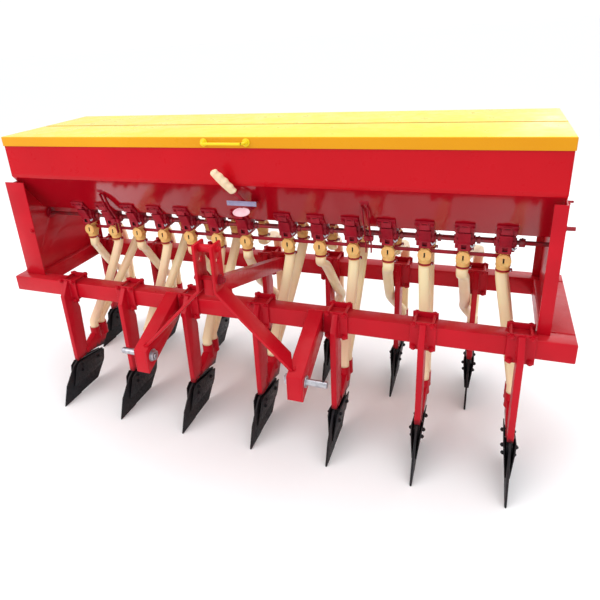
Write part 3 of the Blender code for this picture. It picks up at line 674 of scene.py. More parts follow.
def slab(outline: Sequence[tuple[float, float]], view: Facing, depth: float, thickness: float,
         bevel: float = 0.0, segments: int = 2) -> bpy.types.Object:
    """Extrude a flat outline either side of its plane, with rounded edges.

    Args:
        outline: The outline's corners, in order.
        view: The direction that it faces.
        depth: Where its middle plane is.
        thickness: Its thickness.
        bevel: Width of the edges' rounding, or 0 for none.
        segments: Steps of the rounding.

    Returns:
        The extruded piece.
    """
    deselect()
    bpy.ops.mesh.primitive_circle_add(vertices=len(outline), radius=1, fill_type="NGON")
    piece = bpy.context.object
    with editing(piece) as shape:
        for vert, (across, up) in zip(shape.verts, outline):
            vert.co = view.place(across, up, depth - thickness / 2)
        bmesh.update_edit_mesh(piece.data)
        bpy.ops.mesh.select_all(action="SELECT")
        bpy.ops.mesh.extrude_region_move(TRANSFORM_OT_translate={"value": view.normal * thickness})
        bpy.ops.mesh.select_all(action="SELECT")
        bpy.ops.mesh.normals_make_consistent(inside=False)
        if bevel > 0:
            bpy.ops.mesh.select_mode(type="EDGE")
            pick("edges", piece, sharp)
            bpy.ops.mesh.bevel(offset=bevel, segments=segments, affect="EDGES")
    return piece


def carve(piece: bpy.types.Object, *cutters: bpy.types.Object) -> bpy.types.Object:
    """Cut pieces out of a piece. A cut takes its cutter's finish.

    Args:
        piece: The piece that is cut.
        cutters: What is cut out. They are used up.

    Returns:
        The cut piece.
    """
    for cutter in cutters:
        step = piece.modifiers.new("carve", "BOOLEAN")
        step.operation = "DIFFERENCE"
        step.solver = "EXACT"
        step.material_mode = "TRANSFER"
        step.object = cutter
        activate(piece)
        bpy.ops.object.modifier_apply(modifier=step.name)
        bpy.data.objects.remove(cutter, do_unlink=True)
    return piece


def hose(route: Sequence[Vector], width: float, depth: float, sides: int = 20,
         square: float = 0.0) -> bpy.types.Object:
    """Sweep a closed oval along a route, its width kept level along X.

    Args:
        route: The points that it passes.
        width: Its width, across X.
        depth: Its other diameter.
        sides: Sides around it.
        square: From 0, an ellipse, to 1, an almost square section.

    Returns:
        The hose.
    """
    shape = bmesh.new()
    power = 1.0 - 0.6 * square
    rings = []
    for index, place in enumerate(route):
        before, after = route[max(index - 1, 0)], route[min(index + 1, len(route) - 1)]
        along = (after - before).normalized()
        level = Vector((1, 0, 0))
        if abs(along.x) > 0.9:
            level = Vector((0, 1, 0))
        across = (level - along * level.dot(along)).normalized()
        normal = along.cross(across)
        ring = []
        for step in range(sides):
            angle = math.tau * step / sides
            cos, sin = math.cos(angle), math.sin(angle)
            offset = across * math.copysign(abs(cos) ** power, cos) * width / 2
            offset += normal * math.copysign(abs(sin) ** power, sin) * depth / 2
            ring.append(shape.verts.new(place + offset))
        rings.append(ring)
    for ring, following in zip(rings, rings[1:]):
        for step in range(sides):
            other = (step + 1) % sides
            shape.faces.new((ring[step], ring[other], following[other], following[step]))
    shape.faces.new(rings[0][::-1])
    shape.faces.new(rings[-1])
    bmesh.ops.recalc_face_normals(shape, faces=shape.faces)
    mesh = bpy.data.meshes.new("hose")
    shape.to_mesh(mesh)
    shape.free()
    piece = bpy.data.objects.new("hose", mesh)
    bpy.context.scene.collection.objects.link(piece)
    return piece


def smooth_route(stations: Sequence[Sequence[float]], steps: int) -> list[Vector]:
    """Find points along one smooth curve through the stations.

    Args:
        stations: The points that the curve passes through.
        steps: Points for each stretch between stations.

    Returns:
        The curve's points.
    """
    known = [Vector(place) for place in stations]
    padded = [2 * known[0] - known[1], *known, 2 * known[-1] - known[-2]]
    points = []
    for before, here, there, after in zip(padded, padded[1:], padded[2:], padded[3:]):
        for step in range(steps):
            share = step / steps
            points.append(0.5 * (2 * here + (there - before) * share
                                 + (2 * before - 5 * here + 4 * there - after) * share ** 2
                                 + (3 * here - before - 3 * there + after) * share ** 3))
    points.append(known[-1])
    return points


def weld(start: Sequence[float], end: Sequence[float], radius: float = 0.004) -> bpy.types.Object:
    """Model a lumpy weld bead between two points.

    Args:
        start: Where it starts.
        end: Where it ends.
        radius: Its radius, half of which lies in the corner.

    Returns:
        The bead.
    """
    first, last = Vector(start), Vector(end)
    ripples = max(3, int((last - first).length / 0.006))
    route = [first.lerp(last, index / (2 * ripples)) for index in range(2 * ripples + 1)]
    bead = hose(route, 2 * radius, 2 * radius, 8)
    with editing(bead, "VERT") as shape:
        for index, vert in enumerate(shape.verts):
            vert.select_set((index // 8) % 2 == 0)
        bmesh.update_edit_mesh(bead.data)
        bpy.ops.transform.vertex_random(offset=radius * 0.35, uniform=0.3, normal=0.7, seed=ripples)
    return bead


# ---------------------------------------------------------------- studio
@dataclass
class Studio:
    """Camera, floor and lights.

    Attributes:
        eye: Where the camera is.
        right: The camera's right-hand direction.
        up: The camera's upward direction.
        lens: Its focal length, in millimetres.
        shift: Its lens shift.
        floor_size: The floor's side.
    """

    eye: Place = (0.9652, -2.1706, 1.7197)
    right: Place = (0.9254, 0.3725, -0.0696)
    up: Place = (-0.0823, 0.3771, 0.9228)
    lens: float = 32.64
    shift: Spot = (0.065, -0.07)
    floor_size: float = 400.0

    def build(self) -> None:
        """Make the camera, the floor and the lights."""
        self._camera()
        self._floor()
        self._lights()

    def _camera(self) -> None:
        """Place the camera at the viewing angle."""
        lens = bpy.data.cameras.new("camera")
        lens.lens = self.lens
        lens.sensor_width = 36.0
        lens.shift_x, lens.shift_y = self.shift
        camera = bpy.data.objects.new("camera", lens)
        bpy.context.scene.collection.objects.link(camera)
        right, up = Vector(self.right).normalized(), Vector(self.up).normalized()
        backward = right.cross(up)
        turn = Matrix((right, up, backward)).transposed().to_4x4()
        camera.matrix_world = Matrix.Translation(Vector(self.eye)) @ turn
        bpy.context.scene.camera = camera

    def _floor(self) -> None:
        """Lay a plain pale floor."""
        deselect()
        bpy.ops.mesh.primitive_plane_add(size=self.floor_size, location=(0, 0, -0.001))
        floor = bpy.context.object
        floor.name = "floor"
        surface = bpy.data.materials.new("pale_floor")
        surface.use_nodes = True
        shader = surface.node_tree.nodes["Principled BSDF"]
        shader.inputs["Base Color"].default_value = (0.93, 0.93, 0.93, 1.0)
        shader.inputs["Roughness"].default_value = 0.9
        floor.data.materials.append(surface)

    def _lights(self) -> None:
        """Light the machine from a bright overcast sky and three soft panels."""
        world = bpy.data.worlds.new("sky")
        world.use_nodes = True
        background = world.node_tree.nodes["Background"]
        background.inputs["Color"].default_value = (0.97, 0.98, 1.0, 1.0)
        background.inputs["Strength"].default_value = 1.1
        bpy.context.scene.world = world
        bpy.context.scene.view_settings.view_transform = "Standard"
        panels = (("left_panel", (-3.2, -3.6, 3.4), (4.0, 3.0), 90.0),
                  ("top_panel", (0.6, 0.6, 4.2), (5.0, 3.0), 60.0),
                  ("rear_panel", (2.6, 3.6, 2.6), (3.0, 2.0), 30.0))
        for name, place, size, power in panels:
            light = bpy.data.lights.new(name, "AREA")
            light.shape = "RECTANGLE"
            light.size, light.size_y = size
            light.energy = power
            panel = bpy.data.objects.new(name, light)
            bpy.context.scene.collection.objects.link(panel)
            aim = Vector((0.0, 0.0, 0.7)) - Vector(place)
            turn = aim.to_track_quat("-Z", "Y").to_matrix().to_4x4()
            panel.matrix_world = Matrix.Translation(Vector(place)) @ turn


# ---------------------------------------------------------------- frame and hitch
@dataclass
class MainFrame:
    """Two square cross beams and two flat side beams, with end caps and welds.

    Attributes:
        corner: Rounding of the tubes' corners.
        cap_set: Width of the rim around a sunken end cap.
        cap_thickness: Twice the cap's depth under the rim.
        bead: Radius of the weld beads.
    """

    corner: float = 0.006
    cap_set: float = 0.012
    cap_thickness: float = 0.004
    bead: float = 0.0035

    def build(self) -> None:
        """Make the beams."""
        for node in ("front_beam", "rear_beam"):
            self._cross_beam(node)
        for node in ("side_beam_left", "side_beam_right"):
            self._side_beam(node)

    def _cross_beam(self, node: str) -> None:
        """Make a square tube with a welded cap at each end.

        Args:
            node: The node that it stands for.
        """
        low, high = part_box(node)
        parts = [paint(rounded_node(node, node + "_tube", self.corner, 3), ENAMEL_RED)]
        near, far = low.y + self.cap_set, high.y - self.cap_set
        foot, top = low.z + self.cap_set, high.z - self.cap_set
        for side in Side:
            end = high.x if side is Side.RIGHT else low.x
            inner = end - side.value * self.cap_thickness / 2
            ends = sorted((inner, end + side.value * 0.001))
            recess = paint(block((ends[0], near, foot), (ends[1], far, top)), CAST_RED)
            parts[0] = carve(parts[0], recess)
            corners = [(inner, near, foot), (inner, far, foot), (inner, far, top), (inner, near, top)]
            for start, stop in zip(corners, corners[1:] + corners[:1]):
                parts.append(paint(weld(start, stop, 0.0013), ENAMEL_RED))
        enlist(smooth(joined(node + "_tube", parts)), "frame", [node])

    def _side_beam(self, node: str) -> None:
        """Make a flat side tube, welded to both cross beams.

        Args:
            node: The node that it stands for.
        """
        low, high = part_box(node)
        parts = [paint(rounded_node(node, node + "_tube", self.corner, 3), ENAMEL_RED)]
        for y in (low.y, high.y):
            for z in (low.z + self.corner, high.z - self.corner * 0.2):
                bead = weld((low.x + 0.004, y, z), (high.x - 0.004, y, z), self.bead)
                parts.append(paint(bead, ENAMEL_RED))
        enlist(smooth(joined(node + "_tube", parts)), "frame", [node])


@dataclass
class Hitch:
    """Lower arms with their pins, and the mast with its spacer, stay and bolt.

    Attributes:
        corner: Rounding of the arms' and flats' corners.
        pin_chamfer: Chamfer of the pins' ends.
        clip_radius: Radius of the linch pin's hole.
        pin_radius: Radius of the pins.
        seam_inset: Place of an arm's front seams, from its sides.
        plate_thickness: Thickness of the stay's end plate.
        plate_half: Half that plate's width.
        mast_bolt_z: Height of the bolts through the mast and the stay.
        bead: Radius of the weld beads.
    """

    corner: float = 0.0035
    pin_chamfer: float = 0.003
    clip_radius: float = 0.0055
    pin_radius: float = 0.014
    seam_inset: float = 0.006
    plate_thickness: float = 0.006
    plate_half: float = 0.060
    mast_bolt_z: float = 0.852
    bead: float = 0.0038

    def build(self) -> None:
        """Make the whole hitch."""
        for side in Side:
            self._arm(side)
            self._pin(side)
            self._flat(side)
        self._spacer()
        self._stay()

    def _arm(self, side: Side) -> None:
        """Make a lower arm: a box section with front seams and welds at the beam.

        Args:
            side: The arm's side.
        """
        node = "lower_hitch_" + side.name.lower()
        low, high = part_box(node)
        body = paint(rounded_node(node, node + "_box", self.corner, 3), ENAMEL_RED)
        for x in (low.x + self.seam_inset, high.x - self.seam_inset):
            groove = block((x - 0.0005, low.y - 0.01, low.z), (x + 0.0005, low.y + 0.0012, high.z))
            body = carve(body, paint(groove, CAST_RED))
        rear = high.y - 0.001
        runs = [((x, rear, high.z - 0.100), (x, rear, high.z - 0.004)) for x in (low.x, high.x)]
        runs.append(((low.x, rear, high.z), (high.x, rear, high.z)))
        beads = [paint(weld(start, end, self.bead), ENAMEL_RED) for start, end in runs]
        enlist(smooth(joined(node + "_box", [body, *beads])), "frame", [node])

    def _pin(self, side: Side) -> None:
        """Make a hitch pin with a chamfered end, a cross hole, a shoulder washer and an inner nut.

        Args:
            side: The pin's side.
        """
        node = "hitch_pin_" + side.name.lower()
        middle = middle_of(node)
        spot = (middle.y, middle.z)
        outward, radius = side.value, self.pin_radius
        inner, tip = sorted((corner.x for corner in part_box(node)), key=lambda x: x * outward)
        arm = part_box("lower_hitch_" + side.name.lower())
        back, face = sorted((corner.x for corner in arm), key=lambda x: x * outward)
        shaft = axle(back, tip, spot, radius, 32)
        with editing(shaft, "EDGE"):
            pick("edges", shaft, lambda edge: all(abs(vert.co.x - tip) < 0.0001 for vert in edge.verts))
            bpy.ops.mesh.bevel(offset=self.pin_chamfer, segments=2, affect="EDGES")
        hole_x = tip - outward * 0.016
        reach = 0.03
        hole = drum((hole_x, middle.y, middle.z - reach), (hole_x, middle.y, middle.z + reach),
                    self.clip_radius, 16)
        seat = back - outward * 0.0005
        parts = [carve(shaft, hole),
                 axle(face - outward * 0.001, face + outward * 0.006, spot, radius * 1.75, 28, 0.0015),
                 axle(inner, seat, spot, radius * 1.7, 6, 0.0012),
                 axle(inner - outward * 0.006, back, spot, radius * 0.9, 24, 0.0015),
                 axle(seat, back - outward * 0.004, spot, radius * 2.0, 28, 0.001)]
        enlist(smooth(paint(joined(node + "_turned", parts), PIN_STEEL)), "frame", [node])

    def _flat(self, side: Side) -> None:
        """Make a bent mast flat, welded to its arm.

        Args:
            side: The flat's side.
        """
        node = "mast_flat_" + side.name.lower()
        low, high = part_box(node)
        parts = [paint(rounded_node(node, node + "_bar", 0.002, 2), ENAMEL_RED)]
        foot_x = high.x if side is Side.RIGHT else low.x
        for x in (foot_x, foot_x - side.value * 0.020):
            bead = weld((x, low.y + 0.004, low.z + 0.004), (x, high.y - 0.004, low.z + 0.016), 0.004)
            parts.append(paint(bead, ENAMEL_RED))
        enlist(smooth(joined(node + "_bar", parts)), "frame", [node])

    def _spacer(self) -> None:
        """Make the spacer tube at the mast's top, with a bolt through it."""
        low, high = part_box("mast_spacer")
        middle = middle_of("mast_spacer")
        parts = [axle(low.x, high.x, (middle.y, middle.z), (high.z - low.z) / 2, 32, 0.001)]
        bolt = Bolt(0.013, 0.010, ENAMEL_RED)
        for side in Side:
            outer = side.value * (high.x + 0.0125)
            parts += bolt.at([(outer, middle.y, middle.z)], (side.value, 0, 0))
        whole = paint(joined("mast_spacer_tube", parts), ENAMEL_RED)
        enlist(smooth(whole), "frame", ["mast_spacer"])

    def _stay(self) -> None:
        """Make the stay with its end plate and the cross bolt in the mast."""
        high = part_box("mast_stay")[1]
        beam_low, beam_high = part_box("rear_beam")
        parts = [paint(rounded_node("mast_stay", "stay_bar", 0.0025, 2), ENAMEL_RED)]
        bolt = Bolt(0.018, 0.013, CAST_RED)
        for side in Side:
            face = side.value * (high.x - 0.010)
            parts += bolt.at([(face, middle_of("mast_spacer").y, self.mast_bolt_z)], (side.value, 0, 0))
        front = beam_low.y - self.plate_thickness
        plate = block((-self.plate_half, front, beam_low.z + 0.006),
                      (self.plate_half, beam_low.y, beam_high.z + 0.030), 0.0015)
        parts.append(paint(plate, ENAMEL_RED))
        for x in (-0.019, 0.019):
            bead = weld((x, front, beam_low.z + 0.016), (x, front, beam_high.z - 0.006), 0.004)
            parts.append(paint(bead, ENAMEL_RED))
        enlist(smooth(joined("mast_stay_bar", parts)), "frame", ["mast_stay"])


# ---------------------------------------------------------------- places
@dataclass(frozen=True)
class Layout:
    """Places of rows and slopes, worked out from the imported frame, and sizes that sub-assemblies share.

    Attributes:
        fold_z: Where the box's panels turn inwards.
        trough_half: Half the width of a trough.
        cup_first: First cup from the rows' middle.
        cup_half: Half a cup's width, over its wings and flange.
        bore: Radius of the feed shafts' bores.
        boot_pipes: The boots' two pipes, from the beam's front face.
        boot_top: Height of the pipes' mouths.
    """

    fold_z: float = 1.152
    trough_half: float = 0.040
    cup_first: float = 0.105
    cup_half: float = 0.037
    bore: float = 0.0115
    boot_pipes: Spot = (0.119, 0.179)
    boot_top: float = 0.300

    @property
    def split_y(self) -> float:
        """Return the partition's place."""
        return middle_of("hopper_partition").y

    @property
    def shaft_z(self) -> float:
        """Return the feed shafts' height."""
        return middle_of("front_feed_shaft").z

    @property
    def floor_z(self) -> float:
        """Return the underside of the box's floor."""
        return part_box("hopper_floor")[0].z

    def row_y(self, row: Row) -> float:
        """Return a metering row's place."""
        return middle_of(row.name.lower() + "_feed_shaft").y

    def slope(self, row: Row) -> tuple[Vector, Vector, Vector]:
        """Find a slope under the box, in (y, z).

        Args:
            row: The slope's row.

        Returns:
            The trough's corner, the direction up the slope and the direction out of it.
        """
        low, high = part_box("hopper_end_left")
        corner = Vector((self.row_y(row) + row.value * self.trough_half, self.floor_z))
        edge = Vector((low.y if row is Row.FRONT else high.y, self.fold_z))
        up = (edge - corner).normalized()
        return corner, up, Vector((row.value * abs(up.y), -abs(up.x)))

    def row_matrix(self, row: Row, x: float) -> Matrix:
        """Find the matrix that takes a front-row pattern at x = 0 to its place in a row.

        Args:
            row: The row. The rear one is mirrored across the partition.
            x: Its place along the row.

        Returns:
            The matrix.
        """
        move = Matrix.Translation((x, 0, 0))
        if row is Row.FRONT:
            return move
        centre = Matrix.Translation((0, self.split_y, 0))
        return centre @ Matrix.Scale(-1, 4, (0, 1, 0)) @ centre.inverted() @ move

    def cup_places(self) -> list[float]:
        """Return the x of each metering cup, left to right."""
        low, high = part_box("front_meters")
        middle = (low.x + high.x) / 2
        half_count = ROW_COUNT // 2
        pitch = ((high.x - low.x) / 2 - self.cup_half - self.cup_first) / (half_count - 1)
        offsets = [self.cup_first + pitch * index for index in range(half_count)]
        return [middle + x for x in [-x for x in reversed(offsets)] + offsets]

    def tyne_place(self, index: int) -> tuple[float, float]:
        """Return a tyne's x and the front face of the beam that it hangs on."""
        beam = "front_beam" if index % 2 else "rear_beam"
        return middle_of(f"opener_{index + 1:02d}").x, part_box(beam)[0].y


LAYOUT = Layout()


# ---------------------------------------------------------------- box
@dataclass
class SeedBox:
    """The box's sheets, and its two lids with their hinges and handle.

    Attributes:
        fold_radius: Radius of the panels' fold.
        sheet_edge: Rounding of the sheets' edges.
        lid_radius: Radius of the lids' folded edges.
        lid_sheet: Thickness of the lids.
        lip: Depth of the lids' lips.
        lip_gap: How far a lip stands out from the panel behind it.
        handle_x: Middle of the grab handle.
        handle_half: Half the distance between its bosses.
        handle_reach: How far it stands out of the lip.
        handle_radius: Radius of its bar.
        handle_bend: Radius of its bends.
        leaf_half: Half a hinge's length.
        barrel_radius: Radius of the hinges' barrels.
        hinge_places: Middle of each hinge.
    """

    fold_radius: float = 0.012
    sheet_edge: float = 0.0007
    lid_radius: float = 0.005
    lid_sheet: float = 0.0025
    lip: float = 0.045
    lip_gap: float = 0.007
    handle_x: float = -0.025
    handle_half: float = 0.095
    handle_reach: float = 0.034
    handle_radius: float = 0.006
    handle_bend: float = 0.016
    leaf_half: float = 0.032
    barrel_radius: float = 0.0013
    hinge_places: tuple[float, ...] = (-1.05, -0.63, -0.21, 0.21, 0.63, 1.05)

    def build(self) -> None:
        """Make the box with its lids."""
        self._panel("hopper_front_panel")
        self._panel("hopper_rear_panel")
        for node in ("hopper_floor", "hopper_partition", "hopper_end_left", "hopper_end_right"):
            sheet = rounded_node(node, node + "_sheet", self.sheet_edge, 2)
            enlist(paint(sheet, PANEL_RED), "frame", [node])
        self._lid(Row.FRONT)
        self._lid(Row.REAR)
        self._hinges()

    def _panel(self, node: str) -> None:
        """Make a front or rear panel with a round fold, its slope under the fold in the darker red of painted
        shade.

        Args:
            node: The node that it stands for.
        """
        panel = plain_copy(node, node + "_sheet")
        with editing(panel, "EDGE"):
            pick("edges", panel, lambda edge: abs(edge.verts[0].co.x - edge.verts[1].co.x) > 0.1
                 and all(abs(vert.co.z - LAYOUT.fold_z) < 0.003 for vert in edge.verts))
            bpy.ops.mesh.bevel(offset=self.fold_radius, segments=6, affect="EDGES")
        paint(panel, PANEL_RED)
        # The faces under the fold take the darker red of painted shade, for the slope that faces down.
        recoat(panel, SLOPE_SHADED_RED, lambda face: face.center.z < LAYOUT.fold_z - self.fold_radius)
        enlist(smooth(panel, math.radians(20)), "frame", [node])

    def _lid(self, row: Row) -> None:
        """Make a folded lid, the front one with its grab handle.

        Args:
            row: The lid over that row's bin.
        """
        node = row.name.lower() + "_lid"
        low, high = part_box(node)
        end_low, end_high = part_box("hopper_end_left")
        if row is Row.FRONT:
            near, far = end_low.y - self.lip_gap, high.y
        else:
            near, far = low.y, end_high.y + self.lip_gap
        hinge_y = far if row is Row.FRONT else near
        tray = block((low.x, near, high.z - self.lip), (high.x, far, high.z))
        with editing(tray):
            pick("faces", tray, lambda face: face.normal.z < -0.9
                 or (abs(face.normal.y) > 0.9 and abs(face.calc_center_median().y - hinge_y) < 0.001))
            bpy.ops.mesh.delete(type="FACE")
        with editing(tray, "EDGE"):
            pick("edges", tray, sharp)
            bpy.ops.mesh.bevel(offset=self.lid_radius, segments=4, affect="EDGES")
        wall = tray.modifiers.new("wall", "SOLIDIFY")
        wall.thickness = self.lid_sheet
        wall.offset = -1
        activate(tray)
        bpy.ops.object.modifier_apply(modifier=wall.name)
        paint(tray, LID_YELLOW)
        # The upright faces take the amber of painted shade, a shaded copy of the lid's yellow.
        recoat(tray, LIP_SHADED_YELLOW, lambda face: abs(face.normal.z) < 0.6)
        parts = [tray]
        if row is Row.FRONT:
            parts += self._handle(near, high.z - self.lip / 2)
        leaf_y = sorted((hinge_y + row.value * 0.003, hinge_y + row.value * 0.030))
        for x in self.hinge_places:
            leaf = block((x - self.leaf_half, leaf_y[0], high.z - 0.0065),
                         (x + self.leaf_half, leaf_y[1], high.z - 0.0026))
            parts.append(paint(leaf, LID_YELLOW))
        enlist(smooth(joined(node + "_tray", parts)), node, [node])

    def _handle(self, lip_y: float, z: float) -> list[bpy.types.Object]:
        """Make the grab handle: a bent bar between two round bosses.

        Args:
            lip_y: Front of the lid's lip.
            z: The handle's height.

        Returns:
            The handle's pieces.
        """
        out, bend = lip_y - self.handle_reach, self.handle_bend
        half = [(self.handle_half, lip_y)]
        for step in range(7):
            angle = math.pi / 2 * step / 6
            half.append((self.handle_half - bend * (1 - math.cos(angle)), out + bend * (1 - math.sin(angle))))
        route = [Vector((self.handle_x + x, y, z)) for x, y in half]
        route += [Vector((self.handle_x - x, y, z)) for x, y in reversed(half)]
        pieces = [hose(route, 2 * self.handle_radius, 2 * self.handle_radius, 16)]
        for side in Side:
            x = self.handle_x + side.value * self.handle_half
            pieces.append(drum((x, lip_y + 0.001, z), (x, lip_y - 0.005, z), 0.017, 28, 0.002))
            pieces.append(drum((x, lip_y, z), (x, lip_y - 0.014, z), 0.0105, 24, 0.003))
        return [paint(piece, LID_YELLOW) for piece in pieces]

    def _hinges(self) -> None:
        """Make the hinges' barrels, at the lids' meeting edges, on leaves that stand on the partition."""
        axis_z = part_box("front_lid")[1].z - 0.004
        wall_low, wall_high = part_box("hopper_partition")
        reach = self.leaf_half - 0.002
        foot_z = axis_z - 0.030
        long, pitch = 0.0205, 0.0215
        parts = []
        for row in Row:
            lid_low, lid_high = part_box(row.name.lower() + "_lid")
            if row is Row.FRONT:
                y, wall_y = lid_high.y, wall_low.y
            else:
                y, wall_y = lid_low.y, wall_high.y
            bridge = sorted((y, wall_y))
            for x in self.hinge_places:
                for part in range(3):
                    start = x - self.leaf_half + part * pitch
                    parts.append(axle(start, start + long, (y, axis_z), self.barrel_radius, 16, 0.0003))
                parts.append(block((x - reach, y - 0.001, foot_z), (x + reach, y + 0.001, axis_z - 0.0008)))
                parts.append(block((x - reach, bridge[0] - 0.0005, foot_z),
                                   (x + reach, bridge[1] + 0.0005, axis_z - 0.016), 0.0004))
        whole = joined("lid_hinges", parts)
        enlist(smooth(paint(whole, LID_YELLOW)), "frame")


@dataclass
class Supports:
    """The plates that carry the box, with their bolts, bearings and fittings.

    Attributes:
        edge: Rounding of the plates' edges.
        bearing_radius: Radius of the bearing flanges.
        skin: Thickness of the plates beside the box's ends.
        bolt_spots: Each bolt's y, and its height above the box's floor.
        hook_spot: The (y, z) of the right support's hook.
        knob_drop: How far the left flange's knob is under the box's floor.
    """

    edge: float = 0.0016
    bearing_radius: float = 0.031
    skin: float = 0.0055
    bolt_spots: tuple[Spot, ...] = ((-0.09, 0.155), (0.10, 0.170), (0.28, 0.080), (0.10, 0.085))
    hook_spot: Spot = (0.262, 0.993)
    knob_drop: float = 0.079

    def build(self) -> None:
        """Make both supports."""
        bolt = Bolt(0.010, 0.008, ENAMEL_RED)
        for side in Side:
            self._support(side, bolt)

    def _support(self, side: Side, bolt: Bolt) -> None:
        """Make a support with its fittings.

        Args:
            side: The support's side.
            bolt: The bolts that hold it.
        """
        node = "box_support_" + side.name.lower()
        low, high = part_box(node)
        out = side.value
        end_low, end_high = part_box("hopper_end_" + side.name.lower())
        inner = end_high.x if out > 0 else end_low.x
        outer = inner + out * self.skin
        parts = [paint(rounded_node(node, node + "_plate", self.edge, 2), ENAMEL_RED)]
        parts += bolt.at([(outer, y, LAYOUT.floor_z + rise) for y, rise in self.bolt_spots], (out, 0, 0))
        foot_z = low.z + 0.001
        for y in (low.y + 0.05, 0.12, high.y - 0.05):
            bead = weld((outer, y - 0.03, foot_z), (outer, y + 0.03, foot_z), 0.0035)
            parts.append(paint(bead, ENAMEL_RED))
        for row in Row:
            parts += self._bearing(LAYOUT.row_y(row), outer, out)
            parts += self._bearing(LAYOUT.row_y(row), inner - out * 0.0005, -out)
        if side is Side.RIGHT:
            parts.append(self._hook(outer))
        else:
            parts += bolt.at([(high.x - 0.014, low.y, LAYOUT.floor_z - self.knob_drop)], (0, -1, 0))
        enlist(smooth(joined(node + "_plate", parts)), "frame", [node])

    def _bearing(self, row_y: float, face: float, out: int) -> list[bpy.types.Object]:
        """Make a bearing flange with three bolts.

        Args:
            row_y: The shaft's place.
            face: The face that it stands on.
            out: The direction that it faces along X.

        Returns:
            The bearing's pieces.
        """
        spot = (row_y, LAYOUT.shaft_z)
        front, reach = face + out * 0.005, 0.03
        flange = axle(face, front, spot, self.bearing_radius, 32, 0.0012)
        hub = axle(face + out * 0.004, face + out * 0.0115, spot, 0.018, 32, 0.0015)
        rings = []
        for ring in (flange, hub):
            hole = axle(face - reach, face + reach, spot, LAYOUT.bore, 24)
            rings.append(carve(paint(ring, CAST_RED), paint(hole, CAST_RED)))
        circle = self.bearing_radius * 0.76
        places = [(front, row_y + circle * math.cos(angle), LAYOUT.shaft_z + circle * math.sin(angle))
                  for angle in (math.radians(90), math.radians(210), math.radians(330))]
        return [*rings, *Bolt(0.0055, 0.0045, CAST_RED).at(places, (out, 0, 0))]

    def _hook(self, outer: float) -> bpy.types.Object:
        """Make the bent hook behind the right support's top.

        Args:
            outer: The plate's outer face.

        Returns:
            The hook.
        """
        y, z = self.hook_spot
        bends = ((-0.001, -0.018), (0.012, -0.016), (0.018, -0.002), (0.024, 0.008), (0.045, 0.010),
                 (0.072, 0.010))
        route = smooth_route([(outer + reach, y, z + rise) for reach, rise in bends], 5)
        return paint(hose(route, 0.010, 0.010, 14), CAST_RED)


